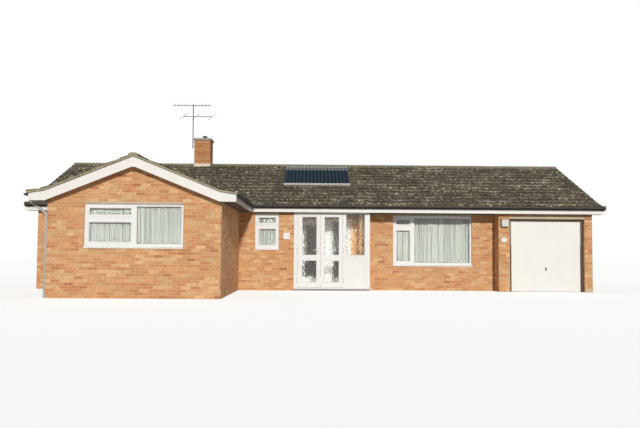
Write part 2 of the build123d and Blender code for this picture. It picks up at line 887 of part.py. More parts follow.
entrance_level = house_floor_level
entrance_side_light = (entrance_mullion_left + entrance_mullion, entrance_right - entrance_right_jamb,
                       entrance_level + entrance_rail, entrance_height - entrance_frame)
with BuildPart() as porch_fixed_glass:
    with BuildSketch(front_plane(porch_face + post_depth / 2 - glass_thickness / 2)):
        rect(side_light_left, side_light_right, leaf_mid_rail_high, porch_top - bead)
    extrude(amount=-glass_thickness)
    with BuildSketch(Plane.YZ.offset(porch_right - post_depth / 2 - glass_thickness / 2)):
        rect(porch_face + 2 * post_depth, living_front - post_depth, leaf_mid_rail_high, porch_top - leaf_top_rail)
    extrude(amount=glass_thickness)
    with BuildSketch(front_plane(porch_back + frame_recess + frame_depth / 2 - glass_thickness / 2)):
        rect(*entrance_side_light)
    extrude(amount=-glass_thickness)
save(porch_fixed_glass, "porch_fixed_glass")

# Pair of porch doors
leaf_foot = frame_foot + leaf_gap
leaf_top = porch_top - porch_head - leaf_gap
hinge_y = porch_face - hinge_standoff
leaf_hinge_gap = leaf_gap / 2
leaf_back = porch_face + leaf_thickness
hinge_levels = (leaf_foot + hinge_inset, (leaf_foot + leaf_top) / 2, leaf_top - hinge_inset)
spindle_hole = spindle_radius + spindle_clearance


def porch_leaf(name, x0, x1, stile_left, stile_right, hinge_x, spindle=None):
    """A glazed leaf with a middle rail, its hinge barrels and the hole for its spindle."""
    glass = [
        (x0 + stile_left, x1 - stile_right, leaf_foot + leaf_bottom_rail, leaf_mid_rail_low),
        (x0 + stile_left, x1 - stile_right, leaf_mid_rail_high, leaf_top - leaf_top_rail),
    ]
    plate_end = hinge_x + (hinge_plate if hinge_x < x0 else -hinge_plate)
    with BuildPart() as leaf:
        with BuildSketch(front_plane(porch_face)):
            rect(x0, x1, leaf_foot, leaf_top)
            for light in glass:
                rect(*light, mode=Mode.SUBTRACT)
            if spindle:
                with Locations(spindle):
                    Circle(spindle_hole, mode=Mode.SUBTRACT)
        extrude(amount=-leaf_thickness)
        for level in hinge_levels:
            with BuildSketch(Plane.XY.offset(level - hinge_height / 2)):
                with Locations((hinge_x, hinge_y)):
                    RegularPolygon(hinge_barrel, barrel_sides)
                rect(min(hinge_x, plate_end), max(hinge_x, plate_end), porch_face - hinge_plate_thickness,
                     porch_face)
            extrude(amount=hinge_height)
    save(leaf, name)
    with BuildPart() as panes:
        with BuildSketch(front_plane(porch_face + leaf_thickness / 2 - glass_thickness / 2)):
            for light in glass:
                rect(*light)
        extrude(amount=-glass_thickness)
    save(panes, name + "_glass")


left_hinge_x = opening_left + leaf_hinge_gap
right_hinge_x = opening_right - leaf_hinge_gap
left_leaf_left = opening_left + leaf_gap
right_leaf_right = opening_right - leaf_gap
left_leaf_right = porch_meeting - meeting_gap / 2
right_leaf_left = porch_meeting + meeting_gap / 2
porch_leaf("porch_left_leaf", left_leaf_left, left_leaf_right, left_leaf_hinge_stile, leaf_stile, left_hinge_x,
           (handle_x, handle_level))
porch_leaf("porch_right_leaf", right_leaf_left, right_leaf_right, leaf_stile, leaf_stile, right_hinge_x)

with BuildPart() as porch_lever:
    with BuildSketch(front_plane(porch_face - lever_standoff)):
        with Locations((handle_x, handle_level)):
            Circle(spindle_radius)
    extrude(amount=-(leaf_thickness + 2 * lever_standoff))
    for y in (porch_face - lever_standoff - lever_thickness, leaf_back + lever_standoff):
        with BuildSketch(front_plane(y)):
            with Locations((handle_x - lever_length / 2, handle_level)):
                SlotCenterToCenter(lever_length, lever_height)
        extrude(amount=-lever_thickness)
save(porch_lever, "porch_lever")

# Entrance door
with BuildPart() as entrance_door_frame:
    with BuildSketch(front_plane(porch_back + frame_recess)):
        rect(entrance_left, entrance_right, entrance_level, entrance_height)
        rect(entrance_left + entrance_frame, entrance_mullion_left, entrance_level,
             entrance_height - entrance_frame, mode=Mode.SUBTRACT)
        rect(*entrance_side_light, mode=Mode.SUBTRACT)
    extrude(amount=-frame_depth)
save(entrance_door_frame, "entrance_door_frame")

entrance_frame_back = porch_back + frame_recess + frame_depth
entrance_leaf_left = entrance_left + entrance_frame + leaf_gap
entrance_leaf_right = entrance_mullion_left - leaf_gap
entrance_leaf_top = entrance_height - entrance_frame - leaf_gap
entrance_leaf_foot = entrance_level + leaf_gap
entrance_light = (entrance_leaf_left + leaf_stile, entrance_leaf_right - leaf_stile,
                  entrance_leaf_foot + entrance_rail, entrance_leaf_top - leaf_stile)
entrance_hinge_x = entrance_mullion_left - leaf_gap / 2
entrance_hinge_y = entrance_frame_back + hinge_standoff
entrance_hinge_levels = (entrance_leaf_foot + hinge_inset, entrance_leaf_top - hinge_inset)
with BuildPart() as entrance_door:
    with BuildSketch(front_plane(entrance_frame_back)):
        rect(entrance_leaf_left, entrance_leaf_right, entrance_leaf_foot, entrance_leaf_top)
        rect(*entrance_light, mode=Mode.SUBTRACT)
    extrude(amount=entrance_leaf)
    for level in entrance_hinge_levels:
        with BuildSketch(Plane.XY.offset(level - hinge_height / 2)):
            with Locations((entrance_hinge_x, entrance_hinge_y)):
                RegularPolygon(hinge_barrel, barrel_sides)
            rect(entrance_hinge_x - hinge_plate, entrance_hinge_x, entrance_frame_back,
                 entrance_frame_back + hinge_plate_thickness)
        extrude(amount=hinge_height)
save(entrance_door, "entrance_door")

with BuildPart() as entrance_door_glass:
    with BuildSketch(front_plane(entrance_frame_back - entrance_leaf / 2 + glass_thickness / 2)):
        rect(*entrance_light)
    extrude(amount=glass_thickness)
save(entrance_door_glass, "entrance_door_glass")


def frame_hinge(x, y, face, level, turn):
    """A hinge half on the frame: a plate with a knuckle above and below the leaf's barrel."""
    inner = hinge_height / 2 + knuckle_gap
    outer = inner + knuckle_height
    proud = face + hinge_plate_thickness * (1.0 if y > face else -1.0)
    far = x + turn * hinge_plate
    near = x + turn * (hinge_barrel + 2 * knuckle_gap)
    with BuildPart() as hinge:
        for foot, top, start in ((level - outer, level + outer, near), (level - outer, level - inner, x),
                                 (level + inner, level + outer, x)):
            with BuildSketch(Plane.XY.offset(foot)):
                rect(min(start, far), max(start, far), min(face, proud), max(face, proud))
            extrude(amount=top - foot)
        for foot in (level - outer, level + inner):
            with BuildSketch(Plane.XY.offset(foot)):
                with Locations((x, y)):
                    RegularPolygon(hinge_barrel, barrel_sides)
            extrude(amount=knuckle_height)
    return hinge.part


save_all("door_hinges", [
    *(frame_hinge(left_hinge_x, hinge_y, porch_face, level, -1.0) for level in hinge_levels),
    *(frame_hinge(right_hinge_x, hinge_y, porch_face, level, 1.0) for level in hinge_levels),
    *(frame_hinge(entrance_hinge_x, entrance_hinge_y, entrance_frame_back, level, 1.0)
      for level in entrance_hinge_levels),
])

# Garage frame, door and canopy gear
garage_frame_front = garage_frame_back - garage_frame_depth
door_face = main_front + garage_recess
pivot_y = door_face + garage_pivot_setback
door_centre = (garage_left + garage_right) / 2
door_left = door_centre - garage_door_width / 2
door_right = door_centre + garage_door_width / 2
door_top = garage_head - garage_head_gap
door_height = door_top - garage_ground_gap
arm_length = door_height / 3
arm_pin_level = door_top - arm_length
jamb_left = door_left - garage_side_gap
jamb_right = door_right + garage_side_gap

with BuildPart() as garage_frame:
    with BuildSketch(front_plane(garage_frame_front)):
        rect(garage_left, garage_right, 0.0, garage_head_top)
        rect(jamb_left, jamb_right, 0.0, garage_head, mode=Mode.SUBTRACT)
    extrude(amount=-garage_frame_depth)
save(garage_frame, "garage_frame")


def pivot(x, turn, level, front, plate_foot):
    """A pin on a small plate that is fixed to the side of the frame or the door."""
    with BuildPart() as piece:
        with BuildSketch(Plane.YZ.offset(x)):
            rect(front, front + pivot_plate_width, plate_foot, plate_foot + pivot_plate_height)
        extrude(amount=turn * pivot_plate)
        with BuildSketch(Plane.YZ.offset(x)):
            with Locations((pivot_y, level)):
                Circle(pin_radius)
        extrude(amount=turn * (garage_side_gap - leaf_hinge_gap))
    return piece.part


frame_plate_foot = door_top + pivot_plate_rise - pivot_plate_height
door_plate_foot = arm_pin_level - pivot_plate_height / 2
save_all("garage_pivots", [
    pivot(jamb_left, 1.0, door_top, door_face, frame_plate_foot),
    pivot(jamb_right, -1.0, door_top, door_face, frame_plate_foot),
])
save_all("garage_door_pins", [
    pivot(door_left, -1.0, arm_pin_level, door_face, door_plate_foot),
    pivot(door_right, 1.0, arm_pin_level, door_face, door_plate_foot),
])

with BuildPart() as garage_door:
    with BuildSketch(front_plane(door_face)):
        rect(door_left, door_right, garage_ground_gap, door_top)
    extrude(amount=-garage_leaf)
    with BuildSketch(front_plane(door_face + garage_leaf)):
        bay = (garage_door_width - (garage_ribs + 2) * garage_rim) / (garage_ribs + 1)
        for i in range(garage_ribs + 1):
            x0 = door_left + garage_rim + i * (bay + garage_rim)
            rect(x0, x0 + bay, garage_ground_gap + garage_rim, door_top - garage_rim)
    extrude(amount=garage_leaf - garage_skin, mode=Mode.SUBTRACT)
    with BuildSketch(front_plane(door_face)):
        with Locations((door_centre, garage_handle_level)):
            Circle(garage_spindle + pin_clearance)
    extrude(amount=-garage_leaf, mode=Mode.SUBTRACT)
save(garage_door, "garage_door")

arm_clearance = (garage_side_gap - arm_thickness) / 2
with BuildPart() as garage_arms:
    for x in (jamb_left + arm_clearance, door_right + arm_clearance):
        with BuildSketch(Plane.YZ.offset(x)):
            with Locations((pivot_y, door_top - arm_length / 2)):
                SlotCenterToCenter(arm_length, arm_width, rotation=90)
            with Locations((pivot_y, door_top), (pivot_y, arm_pin_level)):
                Circle(pin_radius + pin_clearance, mode=Mode.SUBTRACT)
        extrude(amount=arm_thickness)
save(garage_arms, "garage_arms")

with BuildPart() as garage_handle:
    with BuildSketch(front_plane(door_face - garage_handle_standoff)):
        with Locations((door_centre, garage_handle_level)):
            Circle(garage_spindle)
    extrude(amount=-(garage_handle_standoff + garage_leaf))
    with BuildSketch(front_plane(door_face - garage_handle_standoff)):
        with Locations((door_centre, garage_handle_level)):
            SlotCenterToCenter(garage_handle_length, garage_handle_width, rotation=90)
    extrude(amount=garage_handle_thickness)
save(garage_handle, "garage_handle")

# Chimney
with BuildPart() as chimney_stack:
    with BuildSketch(Plane.XY.offset(chimney_foot)):
        rect(chimney_left, chimney_right, chimney_front, chimney_rear)
    extrude(amount=chimney_brick_top - chimney_foot)
save(chimney_stack, "chimney_stack")

with BuildPart() as chimney_cap:
    with BuildSketch(Plane.XY.offset(chimney_brick_top)):
        rect(chimney_left, chimney_right, chimney_front, chimney_rear)
    extrude(amount=chimney_course_top - chimney_brick_top)
    with BuildSketch(Plane.XY.offset(chimney_course_top)):
        rect(chimney_left - cap_overhang, chimney_right + cap_overhang,
             chimney_front - cap_overhang, chimney_rear + cap_overhang)
    extrude(amount=chimney_cap_top - chimney_course_top)
save(chimney_cap, "chimney_cap")

pot_x = (chimney_left + chimney_right) / 2 + pot_shift
pot_y = (chimney_front + chimney_rear) / 2
cowl_level = chimney_cap_top + pot_height - cowl_height
with BuildPart() as chimney_pot:
    with BuildSketch(Plane.XY.offset(chimney_cap_top)):
        with Locations((pot_x, pot_y)):
            Circle(pot_neck_radius)
    extrude(amount=pot_height - cowl_height)
    with BuildSketch(Plane.XY.offset(cowl_level)):
        with Locations((pot_x, pot_y)):
            Circle(pot_radius)
    extrude(amount=cowl_height, taper=cowl_taper)
save(chimney_pot, "chimney_pot")

# Aerials
with BuildPart() as aerial_mast:
    with BuildSketch(Plane.XY.offset(mast_foot)):
        with Locations((mast_x, mast_y)):
            Circle(mast_radius)
    extrude(amount=mast_top - mast_foot)
    for rise in mast_clamp_levels:
        with BuildSketch(Plane.XY.offset(mast_foot + rise)):
            rect(mast_x, chimney_left, mast_y - mast_clamp / 2, mast_y + mast_clamp / 2)
        extrude(amount=mast_clamp_height)
save(aerial_mast, "aerial_mast")

boom_y = mast_y - mast_radius - boom_thickness


def aerial(left, right, drop, stations, element_length, lean):
    """A boom clamped to the mast, with a row of rods across it."""
    foot = mast_top - drop
    with BuildPart() as piece:
        with BuildSketch(Plane.YZ.offset(mast_x - left)):
            rect(boom_y, boom_y + boom_thickness, foot, foot + boom_thickness)
        extrude(amount=left + right)
        for x in stations:
            with BuildSketch(Plane(origin=(mast_x + x, boom_y + boom_thickness / 2, foot + boom_thickness / 2),
                                   z_dir=lean)):
                Rectangle(2 * element_radius, 2 * element_radius)
            extrude(amount=element_length / 2, both=True)
    return piece.part


television_pitch = (television_boom_left + television_boom_right) / television_elements
television_stations = [
    (i + 0.5) * television_pitch - television_boom_left for i in range(television_elements)
]
radio_stations = [
    element_radius - radio_boom_left,
    (radio_boom_right - radio_boom_left) / 3,
    radio_boom_right - element_radius,
]
save_all("roof_aerials", [
    aerial(television_boom_left, television_boom_right, television_boom_drop, television_stations,
           television_element_length, television_lean),
    aerial(radio_boom_left, radio_boom_right, radio_boom_drop, radio_stations,
           radio_element_length, radio_lean),
])

# Solar collectors on the front slope
slope_stretch = math.hypot(1.0, roof_rise)
solar_plane = Plane(origin=(0, 0, main_ridge), x_dir=(1, 0, 0), z_dir=(0, -roof_rise, 1))
group_pitch = solar_group_width + solar_group_gap
tube_margin = (solar_group_width - (tubes_per_group - 1) * tube_pitch) / 2
with BuildPart() as solar_tubes:
    for group in range(solar_groups):
        start = solar_left + group * group_pitch + tube_margin
        for tube in range(tubes_per_group):
            with BuildSketch(Plane(
                origin=(start + tube * tube_pitch, solar_top, main_ridge + solar_top * roof_rise + solar_lift),
                x_dir=(1, 0, 0), z_dir=(0, -1, -roof_rise),
            )):
                RegularPolygon(tube_radius, tube_sides)
            extrude(amount=(solar_top - solar_bottom) * slope_stretch)
save(solar_tubes, "solar_tubes")

tube_top = solar_top * slope_stretch + solar_lift * roof_rise / slope_stretch
tube_foot = tube_top - (solar_top - solar_bottom) * slope_stretch
with BuildPart() as solar_frames:
    for group in range(solar_groups):
        left = solar_left + group * group_pitch
        with BuildSketch(solar_plane):
            rect(left, left + solar_group_width, tube_top, tube_top + manifold_length)
        extrude(amount=manifold_height)
        with BuildSketch(solar_plane):
            rect(left, left + solar_group_width, tube_foot - solar_rail, tube_foot)
        extrude(amount=solar_rail_height)
save(solar_frames, "solar_frames")

# Lead flashings round the chimney and in the valleys
with BuildPart() as chimney_collar:
    collar_front = chimney_front - lead_thickness
    collar_rear = chimney_rear + lead_thickness
    collar_line = [(collar_front, main_ridge + collar_front * roof_rise), (0.0, main_ridge),
                   (collar_rear, main_ridge - collar_rear * roof_rise)]
    with BuildSketch(Plane.YZ.offset(chimney_left - lead_thickness)):
        Polygon(*collar_line, *((y, z + flashing_upstand) for y, z in reversed(collar_line)), align=None)
    extrude(amount=chimney_width + 2 * lead_thickness)
    add(chimney_shaft.part, mode=Mode.SUBTRACT)
    add(main_ridge_tiles.part, mode=Mode.SUBTRACT)


def valley_band(side, inner, outer):
    """The plan of one strip beside a valley line."""
    start = valley_lead_clear
    stop = 2 * wing_eaves
    with BuildPart() as band:
        with BuildSketch():
            Polygon((wing_centre + side * (start + inner), -valley_start - start),
                    (wing_centre + side * (stop + inner), -valley_start - stop),
                    (wing_centre + side * (stop + outer), -valley_start - stop),
                    (wing_centre + side * (start + outer), -valley_start - start), align=None)
        extrude(amount=2 * main_ridge)
    return band.part


def valley_lead(side):
    """A lead strip folded into one valley, over the edges of both tile layers."""
    with BuildPart() as strip:
        add(main_slope(-1.0, -lead_thickness, lead_thickness, main_half_run, tile_oversail))
        add(valley_band(side, 0.0, valley_lead_width), mode=Mode.INTERSECT)
    with BuildPart() as wing_strip:
        add(wing_slope(side, -lead_thickness, lead_thickness, wing_verge - verge_oversail, tile_oversail))
        add(valley_band(side, -valley_lead_width, 0.0), mode=Mode.INTERSECT)
    with BuildPart() as both:
        add(strip.part)
        add(wing_strip.part)
    return both.part


save_all("lead_flashings", [chimney_collar.part, valley_lead(-1.0), valley_lead(1.0)])

# Small fittings on the front
with BuildPart() as meter_box:
    with BuildSketch(front_plane(main_front)):
        rect(meter_left, meter_left + meter_width, meter_foot, meter_foot + meter_height)
    extrude(amount=meter_depth)
save(meter_box, "meter_box")

with BuildPart() as wall_lamp:
    with BuildSketch(front_plane(main_front)):
        rect(lamp_left, lamp_left + lamp_width, lamp_foot, lamp_foot + lamp_height)
    extrude(amount=lamp_depth)
    with BuildSketch(front_plane(main_front - lamp_depth)):
        rect(lamp_left + lamp_rim, lamp_left + lamp_width - lamp_rim, lamp_foot + lamp_rim,
             lamp_foot + lamp_height - lamp_rim)
    extrude(amount=-lamp_sunk, mode=Mode.SUBTRACT)
save(wall_lamp, "wall_lamp")

with BuildPart() as number_plaque:
    with BuildSketch(front_plane(main_front)):
        with Locations((plaque_x, plaque_level)):
            Ellipse(plaque_width / 2, plaque_height / 2)
    extrude(amount=plaque_thickness)
save(number_plaque, "number_plaque")
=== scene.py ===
"""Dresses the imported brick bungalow: bricks, roof tiles, frames, glass, curtains and fittings.

Every length is in metres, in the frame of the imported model: X to the right along the front,
Y back into the house, Z up.
"""

import logging
import math
import random
from dataclasses import dataclass, field
from enum import Enum
from typing import Callable, Iterable, Sequence

import bpy
from mathutils import Matrix, Vector


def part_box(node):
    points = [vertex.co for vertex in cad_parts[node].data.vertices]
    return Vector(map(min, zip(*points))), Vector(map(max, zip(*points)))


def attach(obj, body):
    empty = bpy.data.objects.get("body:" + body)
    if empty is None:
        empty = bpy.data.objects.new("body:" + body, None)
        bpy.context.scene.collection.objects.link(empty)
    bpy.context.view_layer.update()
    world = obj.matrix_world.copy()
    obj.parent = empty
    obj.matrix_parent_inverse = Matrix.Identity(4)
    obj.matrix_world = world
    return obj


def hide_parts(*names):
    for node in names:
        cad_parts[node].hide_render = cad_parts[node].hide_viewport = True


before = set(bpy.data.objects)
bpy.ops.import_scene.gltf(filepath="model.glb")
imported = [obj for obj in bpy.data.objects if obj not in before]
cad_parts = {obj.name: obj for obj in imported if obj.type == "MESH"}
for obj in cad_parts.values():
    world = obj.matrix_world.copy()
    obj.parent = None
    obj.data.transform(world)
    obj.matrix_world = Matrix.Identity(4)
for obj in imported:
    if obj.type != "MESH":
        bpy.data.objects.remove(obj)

log = logging.getLogger("bungalow")

Material = bpy.types.Material
Node = bpy.types.Node
Socket = bpy.types.NodeSocket
Tree = bpy.types.NodeTree
Colour = tuple[float, float, float]
Point = tuple[float, float, float]
Span = tuple[float, float]
Place = Callable[[float, float, float], Point]
RoofLine = tuple[float, float, float, float]
Collar = tuple[float, float, float]

PLAIN: Colour = (0.5, 0.5, 0.5)
WHITE: Colour = (1.0, 1.0, 1.0)
UP = Vector((0.0, 0.0, 1.0))
HOUSE = "house"
VALUE_SOCKET, COLOUR_SOCKET = "NodeSocketFloat", "NodeSocketColor"
TONE_LAYER = "tone"
EDGE_LAYER = "edge"
TOUCH = 0.0001
SAME_LEVEL = 0.002
ALL, FIRST, SECOND, LAST = slice(None), slice(0, 1), slice(1, 2), slice(-1, None)


class Axis(Enum):
    """The horizontal direction that a wall face looks along."""

    X = 0
    Y = 1


class Paint:
    """Small helpers that add and join shader nodes in one node tree."""

    def __init__(self, tree: Tree) -> None:
        """Keeps the tree that the helpers write into."""
        self.tree = tree

    def node(self, kind: str, **settings: object) -> Node:
        """Adds a node and sets its properties.

        Args:
            kind: The node's type name.
            settings: Properties to set on it.

        Returns:
            The new node.
        """
        made = self.tree.nodes.new(kind)
        for key, value in settings.items():
            setattr(made, key, value)
        return made

    def join(self, source: Socket, target: Socket) -> None:
        """Links one socket to another."""
        self.tree.links.new(source, target)

    def feed(self, target: Socket, value: object) -> None:
        """Links a socket to the target, or sets its value.

        Args:
            target: The input socket.
            value: A socket, a number or a colour.
        """
        if isinstance(value, Socket):
            self.join(value, target)
        elif isinstance(value, tuple) and len(value) == 3 and target.type == "RGBA":
            target.default_value = (*value, 1.0)
        else:
            target.default_value = value

    def math(self, operation: str, a: object, b: object = 0.0, clamp: bool = False) -> Socket:
        """Adds a math node.

        Args:
            operation: The operation's name.
            a: First operand.
            b: Second operand.
            clamp: Whether the result stays between 0 and 1.

        Returns:
            The result socket.
        """
        made = self.node("ShaderNodeMath", operation=operation, use_clamp=clamp)
        self.feed(made.inputs[0], a)
        self.feed(made.inputs[1], b)
        return made.outputs[0]

    def mix(self, share: object, first: object, second: object) -> Socket:
        """Mixes two colours.

        Args:
            share: How much of the second colour shows.
            first: The first colour.
            second: The second colour.

        Returns:
            The mixed colour.
        """
        made = self.node("ShaderNodeMix", data_type="RGBA")
        self.feed(made.inputs["Factor"], share)
        self.feed(made.inputs[6], first)
        self.feed(made.inputs[7], second)
        return made.outputs[2]

    def noise(self, place: object, scale: object, detail: float = 4.0,
              rough: float = 0.55) -> Socket:
        """Adds a noise texture.

        Args:
            place: The coordinates.
            scale: Its scale.
            detail: Octaves.
            rough: Their roughness.

        Returns:
            The noise value.
        """
        made = self.node("ShaderNodeTexNoise")
        self.feed(made.inputs["Vector"], place)
        self.feed(made.inputs["Scale"], scale)
        made.inputs["Detail"].default_value = detail
        made.inputs["Roughness"].default_value = rough
        return made.outputs["Fac"]

    def ramp(self, value: object, low: float, high: float) -> Socket:
        """Maps a value to 0 below low, 1 above high, and smoothly between.

        Args:
            value: The value.
            low: Where the result is 0.
            high: Where the result is 1.

        Returns:
            The mapped value.
        """
        made = self.node("ShaderNodeMapRange", interpolation_type="SMOOTHSTEP")
        self.feed(made.inputs["Value"], value)
        made.inputs["From Min"].default_value = low
        made.inputs["From Max"].default_value = high
        return made.outputs["Result"]

    def place(self) -> Socket:
        """Adds object coordinates, which are metres in the house's frame."""
        return self.node("ShaderNodeTexCoord").outputs["Object"]

    def stretched(self, scale: Colour) -> Socket:
        """Adds object coordinates that are scaled along each axis.

        Args:
            scale: The scale along X, Y and Z.

        Returns:
            The scaled coordinates.
        """
        made = self.node("ShaderNodeMapping")
        made.inputs["Scale"].default_value = scale
        self.join(self.place(), made.inputs["Vector"])
        return made.outputs["Vector"]

    def group(self, tree: Tree, **values: object) -> Node:
        """Places a shared effect group and feeds its inputs.

        Args:
            tree: The group's tree.
            values: A value or a socket for each input, by name, with _ for a space.

        Returns:
            The group's node.
        """
        made = self.node("ShaderNodeGroup", node_tree=tree)
        for label, value in values.items():
            self.feed(made.inputs[label.replace("_", " ")], value)
        return made

    def relief(self, height: Socket, strength: float, depth: float,
               shader: Node) -> None:
        """Adds a bump that drives a shader's normal.

        Args:
            height: The height socket.
            strength: The bump's strength.
            depth: The bump's distance.
            shader: The surface shader.
        """
        bump = self.node("ShaderNodeBump")
        bump.inputs["Strength"].default_value = strength
        bump.inputs["Distance"].default_value = depth
        self.join(height, bump.inputs["Height"])
        self.join(bump.outputs["Normal"], shader.inputs["Normal"])

    def direct_rays(self) -> Socket:
        """Adds a value that is 1 for rays seen directly, in a mirror or through glass.

        Returns:
            The value.
        """
        path = self.node("ShaderNodeLightPath")
        direct = self.math("MAXIMUM", path.outputs["Is Camera Ray"], path.outputs["Is Glossy Ray"])
        return self.math("MAXIMUM", direct, path.outputs["Is Transmission Ray"])

    def send(self, output: str, kind: str, *sources: Socket) -> None:
        """Puts shaders together and sends the result out.

        Args:
            output: The output node's name.
            kind: The type name of the node that puts them together.
            sources: What goes into that node, in the order of its inputs.
        """
        both = self.node(kind)
        for source, target in zip(sources, both.inputs):
            self.join(source, target)
        self.join(both.outputs[0], self.tree.nodes[output].inputs["Surface"])


def surface(name: str) -> tuple[Material, Paint, Node]:
    """Makes a new material.

    Args:
        name: The material's name.

    Returns:
        The material, the helper for its nodes and its surface shader.
    """
    material = bpy.data.materials.new(name)
    material.use_nodes = True
    paint = Paint(material.node_tree)
    return material, paint, paint.tree.nodes["Principled BSDF"]


@dataclass
class EffectGroups:
    """Shader groups that several finishes share, each built once."""

    fine_mottle: float = 11.0
    broad_share: float = 0.65
    fine_share: float = 0.35
    streak_stretch: float = 0.08
    patch_scale: float = 0.9

    def __post_init__(self) -> None:
        """Builds every group."""
        self.mottle = self._mottle()
        self.grain = self._grain()
        self.streaks = self._streaks()
        self.lichen = self._lichen()

    @staticmethod
    def _start(name: str, inputs: dict[str, float | tuple[float, ...]],
               outputs: dict[str, str]) -> tuple[Paint, Node, Node]:
        """Makes an empty group with named sockets.

        Args:
            name: The group's name.
            inputs: The default of each input, a number or a colour, by name.
            outputs: The socket type of each output, by name.

        Returns:
            The paint helper, and the group's input and output nodes.
        """
        tree = bpy.data.node_groups.new(name, "ShaderNodeTree")
        for label, default in inputs.items():
            kind = COLOUR_SOCKET if isinstance(default, tuple) else VALUE_SOCKET
            socket = tree.interface.new_socket(label, in_out="INPUT", socket_type=kind)
            socket.default_value = default
        for label, kind in outputs.items():
            tree.interface.new_socket(label, in_out="OUTPUT", socket_type=kind)
        paint = Paint(tree)
        return paint, paint.node("NodeGroupInput"), paint.node("NodeGroupOutput")

    def _mottle(self) -> Tree:
        """Builds the slow change of colour over a weathered surface.

        Returns:
            The group's tree.
        """
        paint, start, end = self._start(
            "Mottle", {"Colour": (*PLAIN, 1.0), "Stain": (0.2, 0.2, 0.2, 1.0), "Amount": 0.3, "Scale": 2.0},
            {"Colour": COLOUR_SOCKET})
        place = paint.place()
        broad = paint.noise(place, start.outputs["Scale"], detail=5.0, rough=0.6)
        finer = paint.math("MULTIPLY", start.outputs["Scale"], self.fine_mottle)
        fine = paint.noise(place, finer, detail=3.0, rough=0.6)
        both = paint.math("ADD", paint.math("MULTIPLY", broad, self.broad_share),
                          paint.math("MULTIPLY", fine, self.fine_share))
        mask = paint.math("MULTIPLY", paint.ramp(both, low=0.40, high=0.66), start.outputs["Amount"])
        paint.join(paint.mix(mask, start.outputs["Colour"], start.outputs["Stain"]), end.inputs["Colour"])
        return paint.tree

    def _grain(self) -> Tree:
        """Builds a fine surface relief as a height and a roughness.

        Returns:
            The group's tree.
        """
        paint, start, end = self._start(
            "Grain", {"Scale": 300.0, "Rough Low": 0.5, "Rough High": 0.8},
            {"Height": VALUE_SOCKET, "Roughness": VALUE_SOCKET})
        value = paint.noise(paint.place(), start.outputs["Scale"], detail=3.0, rough=0.7)
        spread = paint.math("SUBTRACT", start.outputs["Rough High"], start.outputs["Rough Low"])
        rough = paint.math("ADD", start.outputs["Rough Low"], paint.math("MULTIPLY", value, spread))
        paint.join(value, end.inputs["Height"])
        paint.join(rough, end.inputs["Roughness"])
        return paint.tree

    def _streaks(self) -> Tree:
        """Builds faint upright rain streaks as a mask.

        Returns:
            The group's tree.
        """
        paint, start, end = self._start("Streaks", {"Amount": 0.2, "Scale": 9.0}, {"Mask": VALUE_SOCKET})
        place = paint.stretched((1.0, 1.0, self.streak_stretch))
        value = paint.noise(place, start.outputs["Scale"], detail=4.0, rough=0.6)
        mask = paint.math("MULTIPLY", paint.ramp(value, low=0.48, high=0.75), start.outputs["Amount"])
        paint.join(mask, end.inputs["Mask"])
        return paint.tree

    def _lichen(self) -> Tree:
        """Builds the mask of small pale lichen spots in loose patches.

        Returns:
            The group's tree.
        """
        paint, start, end = self._start("Lichen", {"Amount": 0.5, "Scale": 30.0}, {"Mask": VALUE_SOCKET})
        place = paint.place()
        spots = paint.noise(place, start.outputs["Scale"], detail=5.0, rough=0.75)
        patches = paint.ramp(paint.noise(place, self.patch_scale, detail=4.0, rough=0.6), low=0.30, high=0.60)
        mask = paint.math("MULTIPLY", paint.ramp(spots, low=0.49, high=0.60), patches)
        paint.join(paint.math("MULTIPLY", mask, start.outputs["Amount"], clamp=True), end.inputs["Mask"])
        return paint.tree


@dataclass(frozen=True)
class Finish:
    """A solid surface finish with mottled colour, fine grain and optional streaks."""

    name: str
    stain: Colour
    colour: Colour = PLAIN
    amount: float = 0.3
    scale: float = 2.0
    rough: Span = (0.45, 0.7)
    grain: float = 260.0
    bump: float = 0.15
    depth: float = 0.001
    streak: float = 0.0
    streak_colour: Colour = (0.25, 0.23, 0.19)
    metallic: float = 0.0
    specular: float = 0.5
    coat: float = 0.0

    def build(self, groups: EffectGroups) -> Material:
        """Makes the material.

        Args:
            groups: The shared effect groups.

        Returns:
            The material.
        """
        material, paint, shader = surface(self.name)
        mottle = paint.group(groups.mottle, Colour=self._base(paint), Stain=self.stain, Amount=self.amount,
                             Scale=self.scale)
        colour = self._weather(paint, groups, mottle.outputs["Colour"])
        paint.join(colour, shader.inputs["Base Color"])
        grain = paint.group(groups.grain, Scale=self.grain, Rough_Low=self.rough[0], Rough_High=self.rough[1])
        paint.join(grain.outputs["Roughness"], shader.inputs["Roughness"])
        paint.relief(grain.outputs["Height"], self.bump, self.depth, shader)
        for label, value in (("Metallic", self.metallic), ("Specular IOR Level", self.specular),
                             ("Coat Weight", self.coat)):
            shader.inputs[label].default_value = value
        return material

    def _base(self, paint: Paint) -> Colour | Socket:
        """Returns the clean colour."""
        return self.colour

    def _weather(self, paint: Paint, groups: EffectGroups, colour: Socket) -> Socket:
        """Lays rain streaks over the colour.

        Args:
            paint: The node helper.
            groups: The shared effect groups.
            colour: The mottled colour.

        Returns:
            The weathered colour.
        """
        if self.streak > 0.0:
            streaks = paint.group(groups.streaks, Amount=self.streak)
            colour = paint.mix(streaks.outputs["Mask"], colour, self.streak_colour)
        return colour


